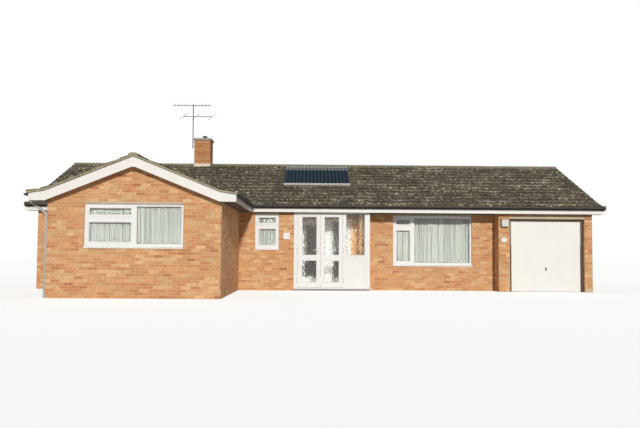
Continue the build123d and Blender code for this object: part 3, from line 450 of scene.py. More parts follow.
@dataclass(frozen=True)
class TonedFinish(Finish):
    """A finish whose colour comes from each brick's or tile's own tone, with optional lichen."""

    lichen: float = 0.0
    lichen_colour: Colour = (0.45, 0.43, 0.34)
    lichen_scale: float = 30.0
    edge_lichen: float = 0.0
    edge_stretch: Colour = (1.0, 1.5, 1.5)
    edge_share: float = 0.13
    blot_scale: float = 11.0
    patch_scale: float = 1.3
    patch_share: float = 0.30
    blot_range: Span = (0.765, 0.810)

    def _base(self, paint: Paint) -> Socket:
        """Adds the tone that each brick or tile was given."""
        return paint.node("ShaderNodeAttribute", attribute_name=TONE_LAYER).outputs["Color"]

    def _weather(self, paint: Paint, groups: EffectGroups, colour: Socket) -> Socket:
        """Lays lichen over the colour: loose spots, and blots that gather along the lower edges.

        Args:
            paint: The node helper.
            groups: The shared effect groups.
            colour: The mottled colour.

        Returns:
            The weathered colour.
        """
        if self.lichen > 0.0:
            lichen = paint.group(groups.lichen, Amount=self.lichen, Scale=self.lichen_scale)
            colour = paint.mix(lichen.outputs["Mask"], colour, self.lichen_colour)
        if self.edge_lichen > 0.0:
            edge = paint.node("ShaderNodeAttribute", attribute_name=EDGE_LAYER)
            blots = paint.noise(paint.stretched(self.edge_stretch), self.blot_scale, detail=4.0, rough=0.65)
            patch = paint.noise(paint.place(), self.patch_scale, detail=3.0, rough=0.6)
            patch = paint.math("MULTIPLY", patch, self.patch_share)
            reach = paint.math("ADD", blots, paint.math("MULTIPLY", edge.outputs["Fac"], self.edge_share))
            mask = paint.ramp(paint.math("ADD", reach, patch), *self.blot_range)
            mask = paint.math("MULTIPLY", mask, self.edge_lichen)
            colour = paint.mix(mask, colour, self.lichen_colour)
        return colour


@dataclass(frozen=True)
class GlassFinish:
    """Clear, tinted or patterned glass."""

    name: str
    tint: Colour
    rough: float = 0.02
    ripple: float = 0.0
    ripple_scale: float = 40.0
    ripple_depth: float = 0.012
    speckle_share: float = 0.9
    speckle_range: Span = (0.42, 0.50)
    speckle_painted_shade: float = 0.58
    film: float = 0.93
    film_amount: float = 0.5
    transmission: float = 1.0
    specular: float = 0.5
    bend: float = 1.45

    def build(self, groups: EffectGroups) -> Material:
        """Makes the material.

        Args:
            groups: The shared effect groups.

        Returns:
            The material.
        """
        material, paint, shader = surface(self.name)
        stain = tuple(self.film * part for part in self.tint)
        film = paint.group(groups.mottle, Colour=self.tint, Stain=stain, Amount=self.film_amount)
        paint.join(film.outputs["Colour"], shader.inputs["Base Color"])
        for label, value in (("Roughness", self.rough), ("Transmission Weight", self.transmission),
                             ("IOR", self.bend), ("Specular IOR Level", self.specular)):
            shader.inputs[label].default_value = value
        if self.ripple > 0.0:
            self._pattern(paint, shader, film.outputs["Colour"])
        if self.transmission > 0.0:
            path = paint.node("ShaderNodeLightPath")
            clear = paint.node("ShaderNodeBsdfTransparent")
            clear.inputs["Color"].default_value = (*self.tint, 1.0)
            paint.send("Material Output", "ShaderNodeMixShader", path.outputs["Is Shadow Ray"],
                       shader.outputs[0], clear.outputs[0])
        return material

    def _pattern(self, paint: Paint, shader: Node, colour: Socket) -> None:
        """Adds the pebbles of patterned glass, and a dark speckle of painted shade in its colour.

        Args:
            paint: The node helper.
            shader: The surface shader.
            colour: The glass's colour.
        """
        cells = paint.node("ShaderNodeTexVoronoi", feature="SMOOTH_F1")
        cells.inputs["Scale"].default_value = self.ripple_scale
        paint.join(paint.place(), cells.inputs["Vector"])
        speckle = paint.noise(paint.place(), self.ripple_scale * self.speckle_share, detail=2.0, rough=0.6)
        speckle = paint.ramp(speckle, *self.speckle_range)
        # The dark speckle is painted shade, for the dark seen broken up through the pebbles.
        shade = tuple(self.speckle_painted_shade * part for part in self.tint)
        paint.join(paint.mix(speckle, shade, colour), shader.inputs["Base Color"])
        paint.relief(cells.outputs["Distance"], self.ripple, self.ripple_depth, shader)


@dataclass(frozen=True)
class NetFinish:
    """Sheer net curtain: white threads that let part of the room show."""

    name: str
    colour: Colour
    stain_shade: float = 0.8
    stain_amount: float = 0.4
    stain_scale: float = 6.0
    fold_stretch: float = 0.008
    fold_scale: float = 24.0
    fold_painted_shade: float = 0.76
    gap_scale: float = 9.0
    weave_scale: float = 420.0
    thin_cover: float = 0.66
    fold_cover: float = 0.23
    weave_cover: float = 0.10
    rough: float = 0.9

    def build(self, groups: EffectGroups) -> Material:
        """Makes the material.

        Args:
            groups: The shared effect groups.

        Returns:
            The material.
        """
        material, paint, shader = surface(self.name)
        mottle = paint.group(groups.mottle, Colour=self.colour,
                             Stain=tuple(self.stain_shade * part for part in self.colour),
                             Amount=self.stain_amount, Scale=self.stain_scale)
        place = paint.stretched((1.0, 1.0, self.fold_stretch))
        folds = paint.ramp(paint.noise(place, self.fold_scale, detail=3.0, rough=0.6), low=0.34, high=0.60)
        gaps = paint.ramp(paint.noise(place, self.gap_scale, detail=1.0, rough=0.4), low=0.30, high=0.36)
        folds = paint.math("MULTIPLY", folds, gaps)
        # Where the fold mask is low the net is thinner and its colour darker: painted shade between the folds
        # and along the sparse gap lines.
        shade = tuple(self.fold_painted_shade * part for part in self.colour)
        paint.join(paint.mix(folds, shade, mottle.outputs["Colour"]), shader.inputs["Base Color"])
        weave = paint.noise(paint.place(), self.weave_scale, detail=2.0, rough=0.5)
        cover = paint.math("ADD", self.thin_cover, paint.math("MULTIPLY", folds, self.fold_cover))
        weave = paint.math("MULTIPLY", weave, self.weave_cover)
        paint.join(paint.math("ADD", cover, weave, clamp=True), shader.inputs["Alpha"])
        shader.inputs["Roughness"].default_value = self.rough
        return material


class Palette:
    """Every material of the house, built once."""

    def __init__(self) -> None:
        """Builds the effect groups and the materials."""
        groups = EffectGroups()
        plan: tuple[Finish | GlassFinish | NetFinish, ...] = (
            TonedFinish("brick", stain=(0.52, 0.235, 0.115), amount=0.60, scale=13.0, rough=(0.75, 0.95),
                        grain=240.0, bump=0.45, depth=0.002, specular=0.25),
            Finish("mortar", colour=(0.74, 0.52, 0.33), stain=(0.55, 0.38, 0.24), amount=0.5, scale=6.0,
                   rough=(0.85, 0.97), grain=300.0, bump=0.5, depth=0.002, specular=0.2),
            TonedFinish("tile", stain=(0.040, 0.034, 0.022), amount=0.6, scale=2.2, rough=(0.7, 0.92),
                        grain=150.0, bump=0.5, depth=0.002, specular=0.15, lichen=0.20,
                        lichen_colour=(0.71, 0.65, 0.49), lichen_scale=22.0, edge_lichen=0.95),
            Finish("bedding", colour=(0.50, 0.43, 0.28), stain=(0.22, 0.19, 0.12), amount=0.7, scale=9.0,
                   rough=(0.85, 0.97), grain=200.0, bump=0.5, depth=0.002, specular=0.2),
            Finish("aerial", colour=(0.075, 0.075, 0.075), stain=(0.16, 0.15, 0.14), amount=0.5, scale=20.0,
                   rough=(0.4, 0.6), grain=200.0, bump=0.1, metallic=0.3),
            TonedFinish("moss", stain=(0.10, 0.10, 0.06), amount=0.7, scale=5.0, rough=(0.8, 0.95),
                        grain=120.0, bump=0.6, depth=0.004, specular=0.2, lichen=0.95,
                        lichen_colour=(0.42, 0.40, 0.31), lichen_scale=26.0),
            Finish("roof_core", colour=(0.10, 0.09, 0.07), stain=(0.05, 0.045, 0.035), amount=0.5,
                   scale=3.0, rough=(0.8, 0.95)),
            Finish("board", colour=(0.915, 0.90, 0.875), stain=(0.76, 0.74, 0.69), scale=1.6,
                   rough=(0.25, 0.4), grain=90.0, bump=0.04, streak=0.05, coat=0.15),
            # Near-black: the shade under the eaves is painted into the soffit boards' colour.
            Finish("soffit", colour=(0.055, 0.045, 0.034), stain=(0.035, 0.028, 0.021), amount=0.4,
                   rough=(0.5, 0.7), grain=120.0, bump=0.05, streak=0.1),
            Finish("frame", colour=(0.885, 0.885, 0.885), stain=(0.80, 0.80, 0.79), amount=0.25, scale=2.4,
                   rough=(0.22, 0.36), grain=80.0, bump=0.03, streak=0.04, coat=0.2),
            Finish("gutter", colour=(0.016, 0.015, 0.013), stain=(0.05, 0.047, 0.040), amount=0.4,
                   rough=(0.6, 0.8), grain=120.0, bump=0.05, specular=0.15, streak=0.15,
                   streak_colour=(0.10, 0.094, 0.078)),
            Finish("pipe", colour=(0.50, 0.49, 0.46), stain=(0.36, 0.35, 0.32), amount=0.4, scale=2.5,
                   rough=(0.35, 0.5), grain=120.0, bump=0.05, streak=0.3),
            Finish("concrete", colour=(0.42, 0.40, 0.36), stain=(0.26, 0.25, 0.22), amount=0.5, scale=2.6,
                   rough=(0.8, 0.95), grain=220.0, bump=0.5, depth=0.002, streak=0.2),
            Finish("lintel", colour=(0.62, 0.52, 0.38), stain=(0.42, 0.34, 0.24), amount=0.45, scale=4.0,
                   rough=(0.75, 0.92), grain=240.0, bump=0.3, depth=0.002),
            Finish("timber", colour=(0.60, 0.45, 0.29), stain=(0.36, 0.25, 0.15), amount=0.5, scale=3.0,
                   rough=(0.6, 0.8), grain=90.0, bump=0.2),
            Finish("brown", colour=(0.10, 0.050, 0.028), stain=(0.05, 0.028, 0.018), amount=0.6, scale=5.0,
                   rough=(0.4, 0.6), grain=120.0, bump=0.25, depth=0.002, streak=0.3,
                   streak_colour=(0.20, 0.12, 0.08)),
            Finish("door_white", colour=(0.885, 0.872, 0.85), stain=(0.82, 0.805, 0.775), amount=0.25,
                   scale=1.4, rough=(0.3, 0.45), grain=60.0, bump=0.03, streak=0.02, coat=0.2),
            Finish("steel", colour=(0.42, 0.42, 0.41), stain=(0.24, 0.22, 0.20), amount=0.5, scale=9.0,
                   rough=(0.35, 0.55), grain=200.0, bump=0.1, metallic=0.85),
            Finish("dark_steel", colour=(0.05, 0.05, 0.05), stain=(0.10, 0.09, 0.08), amount=0.4,
                   scale=20.0, rough=(0.35, 0.5), grain=200.0, bump=0.1, metallic=0.3),
            Finish("lead", colour=(0.78, 0.72, 0.58), stain=(0.58, 0.53, 0.43), amount=0.6, scale=6.0,
                   rough=(0.5, 0.7), grain=90.0, bump=0.2, streak=0.3, streak_colour=(0.60, 0.54, 0.44)),
            Finish("clay", colour=(0.10, 0.075, 0.055), stain=(0.05, 0.04, 0.03), amount=0.5, scale=12.0,
                   rough=(0.7, 0.9), grain=180.0, bump=0.3),
            Finish("plaque", colour=(0.86, 0.85, 0.82), stain=(0.7, 0.69, 0.66), scale=20.0,
                   rough=(0.15, 0.3), grain=80.0, bump=0.02, coat=0.6),
            GlassFinish("glass", tint=(0.965, 0.975, 0.97)),
            GlassFinish("obscured", tint=(0.985, 1.0, 0.975), rough=0.03, ripple=0.8, ripple_scale=26.0),
            GlassFinish("tube_glass", tint=(0.003, 0.020, 0.042), rough=0.5, transmission=0.0,
                        specular=0.04),
            Finish("rubber", colour=(0.035, 0.035, 0.035), stain=(0.07, 0.07, 0.065), amount=0.4,
                   scale=30.0, rough=(0.6, 0.8)),
            Finish("rail", colour=(0.72, 0.71, 0.67), stain=(0.5, 0.49, 0.45), amount=0.4, scale=6.0,
                   rough=(0.35, 0.5), grain=120.0, bump=0.05, metallic=0.2),
            Finish("solar_grey", colour=(0.16, 0.16, 0.17), stain=(0.28, 0.27, 0.25), amount=0.5, scale=8.0,
                   rough=(0.4, 0.6), grain=120.0, bump=0.08, metallic=0.3),
            Finish("opal", colour=(0.80, 0.80, 0.76), stain=(0.62, 0.61, 0.56), scale=12.0,
                   rough=(0.12, 0.25), grain=60.0, bump=0.02, coat=0.5),
            Finish("lamp_metal", colour=(0.22, 0.22, 0.20), stain=(0.12, 0.11, 0.10), amount=0.5,
                   scale=30.0, rough=(0.3, 0.5), grain=160.0, bump=0.1, metallic=0.7),
            NetFinish("net", colour=(0.315, 0.335, 0.315)),
        )
        self.made = {finish.name: finish.build(groups) for finish in plan}

    def __getitem__(self, name: str) -> Material:
        """Returns the material of that name."""
        return self.made[name]


def round_angles(count: int) -> list[float]:
    """Returns that many even angles round a full turn."""
    return [2 * math.pi * k / count for k in range(count)]


class MeshMaker:
    """Collects faces with a tone each and turns them into one object."""

    def __init__(self, name: str) -> None:
        """Starts an empty mesh.

        Args:
            name: The piece's name.
        """
        self.name = name
        self.points: list[Point] = []
        self.faces: list[tuple[int, ...]] = []
        self.tones: list[Colour] = []
        self.edges: dict[int, tuple[float, ...]] = {}

    def face(self, corners: Sequence[Point], tone: Colour = PLAIN,
             edges: Sequence[float] | None = None) -> None:
        """Adds one face.

        Args:
            corners: Its corners, in turn.
            tone: Its own colour.
            edges: How near each corner is to a weathered edge, from 0 to 1.
        """
        first = len(self.points)
        self.points.extend(tuple(corner) for corner in corners)
        self.faces.append(tuple(range(first, first + len(corners))))
        self.tones.append(tone)
        if edges:
            self.edges[len(self.faces) - 1] = tuple(edges)

    def loft(self, rings: Sequence[Sequence[Point]], tone: Colour = PLAIN, closed: bool = True,
             caps: bool = True) -> None:
        """Joins rings of points with faces.

        Args:
            rings: Rings with the same number of points.
            tone: The colour of the faces.
            closed: Whether each ring is a closed loop.
            caps: Whether the first and last ring are filled.
        """
        first = len(self.points)
        size = len(rings[0])
        for ring in rings:
            self.points.extend(tuple(point) for point in ring)
        steps = size if closed else size - 1
        sheets: list[tuple[int, ...]] = []
        for row in range(len(rings) - 1):
            for i in range(steps):
                j = (i + 1) % size
                a = first + row * size
                b = a + size
                sheets.append((a + i, a + j, b + j, b + i))
        if caps and closed:
            sheets.append(tuple(first + i for i in reversed(range(size))))
            last = first + (len(rings) - 1) * size
            sheets.append(tuple(last + i for i in range(size)))
            if self._volume(sheets) < 0.0:
                sheets = [sheet[::-1] for sheet in sheets]
        self.faces.extend(sheets)
        self.tones.extend([tone] * len(sheets))

    def _volume(self, sheets: Sequence[tuple[int, ...]]) -> float:
        """Measures the space inside closed faces.

        Args:
            sheets: The faces, as numbers of points.

        Returns:
            Six times the volume, below zero where the faces look inward.
        """
        start = Vector(self.points[sheets[0][0]])
        total = 0.0
        for sheet in sheets:
            corners = [Vector(self.points[i]) - start for i in sheet]
            for b, c in zip(corners[1:], corners[2:]):
                total += corners[0].dot(b.cross(c))
        return total

    def box(self, low: Point, high: Point) -> None:
        """Adds a plain box.

        Args:
            low: Its lowest corner.
            high: Its highest corner.
        """
        x0, y0, z0 = low
        x1, y1, z1 = high
        self.loft([[(x0, y0, z), (x1, y0, z), (x1, y1, z), (x0, y1, z)] for z in (z0, z1)])

    def rod(self, start: Vector, end: Vector, radius: float, sides: int) -> None:
        """Adds a straight round rod.

        Args:
            start: The middle of one end.
            end: The middle of the other end.
            radius: Its radius.
            sides: Sides of its section.
        """
        along = (end - start).normalized()
        side = along.orthogonal().normalized()
        other = along.cross(side)
        ring = [side * math.cos(t) * radius + other * math.sin(t) * radius for t in round_angles(sides)]
        self.loft([[tuple(middle + ray) for ray in ring] for middle in (start, end)])

    def build(self, material: Material, body: str, slot: str,
              bevel: float = 0.0, smooth: bool = False) -> bpy.types.Object:
        """Makes the object, dresses it and sets it riding.

        Args:
            material: Its material.
            body: The CAD body that it moves with.
            slot: The record's material slot that it belongs to; not used.
            bevel: Width of a bevel on its edges.
            smooth: Whether its faces are shaded smooth.

        Returns:
            The object.
        """
        mesh = bpy.data.meshes.new(self.name)
        mesh.from_pydata(self.points, [], self.faces)
        layer = mesh.color_attributes.new(TONE_LAYER, "FLOAT_COLOR", "CORNER")
        values: list[float] = []
        for face, tone in zip(self.faces, self.tones):
            values.extend((*tone, 1.0) * len(face))
        layer.data.foreach_set("color", values)
        if self.edges:
            worn = mesh.color_attributes.new(EDGE_LAYER, "FLOAT_COLOR", "CORNER")
            values = []
            for i, face in enumerate(self.faces):
                for edge in self.edges.get(i, (0.0,) * len(face)):
                    values.extend((edge, edge, edge, 1.0))
            worn.data.foreach_set("color", values)
        mesh.materials.append(material)
        made = bpy.data.objects.new(self.name, mesh)
        bpy.context.scene.collection.objects.link(made)
        if smooth:
            mesh.shade_smooth()
        if bevel > 0.0:
            rounding = made.modifiers.new("bevel", "BEVEL")
            rounding.width = bevel
            rounding.segments = 2
        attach(made, body)
        log.info("%s: %d faces", self.name, len(self.faces))
        return made


def merge(spans: Iterable[Span]) -> list[Span]:
    """Joins spans that touch or overlap.

    Args:
        spans: Spans in any order.

    Returns:
        The joined spans, in order.
    """
    joined: list[Span] = []
    for low, high in sorted(spans):
        if joined and low <= joined[-1][1] + TOUCH:
            joined[-1] = (joined[-1][0], max(joined[-1][1], high))
        else:
            joined.append((low, high))
    return joined


def overlap(first: Sequence[Span], second: Sequence[Span]) -> list[Span]:
    """Finds the stretches that both lists of spans cover.

    Args:
        first: One list of spans.
        second: The other.

    Returns:
        The shared spans.
    """
    shared = []
    for a0, a1 in first:
        for b0, b1 in second:
            low, high = max(a0, b0), min(a1, b1)
            if high - low > TOUCH:
                shared.append((low, high))
    return shared


@dataclass
class FlatFace:
    """A flat upright face of a CAD wall, as triangles in its own plane."""

    axis: Axis
    sign: float
    level: float
    triangles: list[tuple[Span, ...]] = field(default_factory=list)

    def cover(self, height: float) -> list[Span]:
        """Finds the stretches of the face at one height.

        Args:
            height: The height of the cut.

        Returns:
            The spans along the wall, in order.
        """
        spans = []
        for triangle in self.triangles:
            cuts = []
            for (u0, z0), (u1, z1) in zip(triangle, triangle[1:] + triangle[:1]):
                if (z0 - height) * (z1 - height) < 0.0:
                    cuts.append(u0 + (u1 - u0) * (height - z0) / (z1 - z0))
            if len(cuts) == 2:
                spans.append((min(cuts), max(cuts)))
        return merge(spans)

    def heights(self) -> list[float]:
        """Returns the heights of the face's corners, lowest first."""
        return sorted({round(z, 4) for triangle in self.triangles for _, z in triangle})

    def point(self, along: float, height: float, proud: float) -> Point:
        """Places a point over the face, by its place along the wall, its height and how far it stands out."""
        out = self.level + self.sign * proud
        return (out, along, height) if self.axis is Axis.X else (along, out, height)


def wall_faces(node: str, axis: Axis, sign: float) -> list[FlatFace]:
    """Finds the flat upright faces of a CAD node that look one way.

    Args:
        node: The CAD node.
        axis: The direction that they look along.
        sign: Which way along it.

    Returns:
        One face for each level, lowest level first.
    """
    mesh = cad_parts[node].data
    mesh.calc_loop_triangles()
    square_on = 0.999
    found: dict[float, FlatFace] = {}
    for triangle in mesh.loop_triangles:
        if triangle.normal[axis.value] * sign < square_on:
            continue
        corners = [mesh.vertices[i].co for i in triangle.vertices]
        level = round(corners[0][axis.value], 3)
        face = found.setdefault(level, FlatFace(axis, sign, level))
        other = 1 - axis.value
        face.triangles.append(tuple((corner[other], corner[2]) for corner in corners))
    return [found[level] for level in sorted(found)]


@dataclass
class Brickwork:
    """Stretcher-bond brickwork laid over chosen faces of the CAD walls."""

    length: float = 0.215
    height: float = 0.065
    joint: float = 0.010
    proud: float = 0.004
    arris: float = 0.0025
    wander: float = 0.0008
    least: float = 0.035
    least_rise: float = 0.014
    sliver: float = 0.004
    inside: float = 0.001
    leaf: float = 0.1025
    tones: tuple[tuple[float, Colour], ...] = (
        (0.56, (0.72, 0.385, 0.175)), (0.71, (0.67, 0.290, 0.130)), (0.98, (0.79, 0.520, 0.275)),
        (1.0, (0.50, 0.205, 0.10)))
    change: Span = (0.86, 1.12)
    shade: Colour = WHITE
    seed: int = 11

    def __post_init__(self) -> None:
        """Starts the seeded random draws."""
        self.draw = random.Random(self.seed)

    def _tone(self) -> Colour:
        """Draws one brick's colour: mostly buff orange, some redder, some cream.

        Returns:
            The colour.
        """
        pick = self.draw.random()
        base = next(colour for share, colour in self.tones if pick < share)
        change = self.draw.uniform(*self.change)
        return tuple(part * change * shade for part, shade in zip(base, self.shade))

    def lay(self, maker: MeshMaker, face: FlatFace, limit: Span | None = None, low: float = -1.0) -> None:
        """Lays bricks over one face.

        Args:
            maker: Takes the bricks.
            face: The wall face.
            limit: The only stretch along the wall that gets bricks.
            low: Bricks start above this height.
        """
        course = self.height + self.joint
        heights = face.heights()
        start = min(u for triangle in face.triangles for u, _ in triangle)
        for row in range(int(heights[0] / course) - 1, int(heights[-1] / course) + 1):
            bottom, top = row * course + self.joint, (row + 1) * course
            breaks = [bottom] + [z for z in heights if bottom < z < top] + [top]
            for z0, z1 in zip(breaks, breaks[1:]):
                if z1 - z0 < self.least_rise or z0 < low:
                    continue
                spans = overlap(face.cover(z0 + self.inside), face.cover(z1 - self.inside))
                if limit:
                    spans = overlap(spans, [limit])
                for span in spans:
                    for ends in self._course(span, start, row):
                        self._brick(maker, face, ends, (z0, z1))

    def _course(self, span: Span, start: float, row: int) -> list[Span]:
        """Divides one stretch of one course into bricks, with cut bricks at its ends.

        Args:
            span: The stretch along the wall.
            start: Where the wall's bond starts.
            row: The course's number, as every other course is shifted.

        Returns:
            The two ends of each brick, in order.
        """
        pitch = self.length + self.joint
        shift = start + (pitch / 2 if row % 2 else 0.0)
        first = int(math.floor((span[0] - shift) / pitch))
        last = int(math.ceil((span[1] - shift) / pitch))
        bricks = [(max(span[0], shift + i * pitch), min(span[1], shift + i * pitch + self.length))
                  for i in range(first, last + 1)]
        bricks = [(a, b) for a, b in bricks if b - a > self.sliver]
        if len(bricks) > 1 and bricks[0][1] - bricks[0][0] < self.least:
            bricks[:2] = [(bricks[0][0], bricks[1][1])]
        if len(bricks) > 1 and bricks[-1][1] - bricks[-1][0] < self.least:
            bricks[-2:] = [(bricks[-2][0], bricks[-1][1])]
        return bricks

    def _brick(self, maker: MeshMaker, face: FlatFace, span: Span, rise: Span) -> None:
        """Adds one brick with a softened arris.

        Args:
            maker: Takes the brick.
            face: The wall face.
            span: Its ends along the wall.
            rise: Its bottom and top.
        """
        tone = self._tone()
        proud = self.proud + self.draw.uniform(-self.wander, self.wander)
        mirrored = (face.axis is Axis.X) != (face.sign < 0.0)
        rings = []
        for inset, out in ((0.0, 0.0), (0.0, proud - self.arris), (self.arris, proud)):
            a, b = span[0] + inset, span[1] - inset
            z0, z1 = rise[0] + inset, rise[1] - inset
            ring = [face.point(u, z, out) for u, z in ((a, z0), (b, z0), (b, z1), (a, z1))]
            rings.append(ring if mirrored else ring[::-1])
        maker.loft(rings, tone, caps=False)
        maker.face(rings[-1], tone)


@dataclass
class Walls:
    """Lays the brickwork of the house and dresses the wall solids as its mortar."""

    palette: Palette
    flashing_lap: float = 0.155
    reveal_level: float = 1.8
    stack_shade: Colour = (0.64, 0.47, 0.32)
    stack_seed: int = 12

    NODES = ("front_walls", "side_walls", "rear_wall", "garage_piers", "porch_side_walls", "entrance_walls",
             "door_head_walls", "chimney_stack")
    PIECES = {
        "front_bricks": (("front_walls", Axis.Y, -1.0, ALL), ("garage_piers", Axis.Y, -1.0, ALL),
                         ("door_head_walls", Axis.Y, -1.0, ALL), ("side_walls", Axis.Y, -1.0, SECOND)),
        "side_bricks": (("side_walls", Axis.X, -1.0, slice(0, 2)),
                        ("side_walls", Axis.X, 1.0, slice(2, None)),
                        ("garage_piers", Axis.X, 1.0, LAST), ("garage_piers", Axis.X, -1.0, FIRST)),
        "rear_bricks": (("rear_wall", Axis.Y, 1.0, ALL), ("side_walls", Axis.Y, 1.0, LAST)),
        "porch_bricks": (("entrance_walls", Axis.Y, -1.0, ALL), ("porch_side_walls", Axis.X, 1.0, FIRST),
                         ("porch_side_walls", Axis.X, -1.0, slice(1, None))),
    }
    # The walls whose openings get brick sides, and whether the wall's own two ends are laid too.
    REVEALS_WITH_ENDS = {"front_walls": True, "garage_piers": False, "rear_wall": False}

    def __post_init__(self) -> None:
        """Sets up the bricks of the walls and those of the chimney."""
        self.bricks = Brickwork()
        self.stack_bricks = Brickwork(shade=self.stack_shade, seed=self.stack_seed)

    def build(self) -> None:
        """Lays every outer face, the porch's inner faces and the chimney."""
        for node in self.NODES:
            dress(node, self.palette["mortar"])
        for name, faces in self.PIECES.items():
            maker = MeshMaker(name)
            for node, axis, sign, chosen in faces:
                for face in wall_faces(node, axis, sign)[chosen]:
                    self.bricks.lay(maker, face)
                    if node in self.REVEALS_WITH_ENDS:
                        self._reveals(maker, node, face)
            maker.build(self.palette["brick"], HOUSE, "facing_brick")
        self._stack()

    def _stack(self) -> None:
        """Lays the chimney above its flashings, with the brick course of its cap."""
        maker = MeshMaker("chimney_bricks")
        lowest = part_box("lead_flashings")[1][2] - self.flashing_lap
        for axis in Axis:
            for sign in (-1.0, 1.0):
                for face in wall_faces("chimney_stack", axis, sign):
                    self.stack_bricks.lay(maker, face, low=lowest)
                    for course in wall_faces("chimney_cap", axis, sign):
                        if abs(course.level - face.level) < SAME_LEVEL:
                            self.stack_bricks.lay(maker, course)
        maker.build(self.palette["brick"], HOUSE, "facing_brick")

    def _reveals(self, maker: MeshMaker, node: str, face: FlatFace) -> None:
        """Lays the sides of window openings, one leaf deep from the wall face.

        Args:
            maker: Takes the bricks.
            node: The CAD wall.
            face: Its face.
        """
        inner = face.level - face.sign * self.bricks.leaf
        near = (min(face.level, inner), max(face.level, inner))
        low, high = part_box(node)
        for sign, end in ((-1.0, low[0]), (1.0, high[0])):
            for side in wall_faces(node, Axis.X, sign):
                if abs(side.level - end) < SAME_LEVEL and not self.REVEALS_WITH_ENDS[node]:
                    continue
                if overlap(side.cover(self.reveal_level), [near]):
                    self.bricks.lay(maker, side, near)


def dress(node: str, material: Material) -> None:
    """Gives a CAD node its material.

    Args:
        node: The CAD node.
        material: Its material.
    """
    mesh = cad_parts[node].data
    mesh.materials.clear()
    mesh.materials.append(material)
    log.info("%s: dressed with %s", node, material.name)


@dataclass
class RoofSlope:
    """One slope of tiles, described by its profile up the slope and its ends along the eaves."""

    profile: list[Span]
    place: Place
    ends: Callable[[float], Span]

    def __post_init__(self) -> None:
        """Measures how far up the slope each bend of the profile is."""
        self.lengths = [0.0]
        for (r0, z0), (r1, z1) in zip(self.profile, self.profile[1:]):
            self.lengths.append(self.lengths[-1] + math.hypot(r1 - r0, z1 - z0))

    def at(self, length: float) -> RoofLine:
        """Finds a level line across the slope.

        Args:
            length: How far up the slope it is.

        Returns:
            Its run, its level, and the run and rise of the outward normal there.
        """
        i = next((i for i, end in enumerate(self.lengths[1:-1]) if length <= end), len(self.lengths) - 2)
        (r0, z0), (r1, z1) = self.profile[i], self.profile[i + 1]
        span = self.lengths[i + 1] - self.lengths[i]
        share = (length - self.lengths[i]) / span
        return r0 + (r1 - r0) * share, z0 + (z1 - z0) * share, (z1 - z0) / span, (r0 - r1) / span

    def over(self, along: float, line: RoofLine, out: float) -> Point:
        """Places a point over a level line of the slope, by its place along the eaves and its height."""
        return self.place(along, line[0] + line[2] * out, line[1] + line[3] * out)

    def mirrored(self) -> bool:
        """Tells whether the slope's own directions turn the other way round, so that faces turn over."""
        start, along, across = self.place(0.0, 0.0, 0.0), self.place(1.0, 0.0, 0.0), self.place(0.0, 1.0, 0.0)
        return ((along[0] - start[0]) * (across[1] - start[1])
                > (along[1] - start[1]) * (across[0] - start[0]))


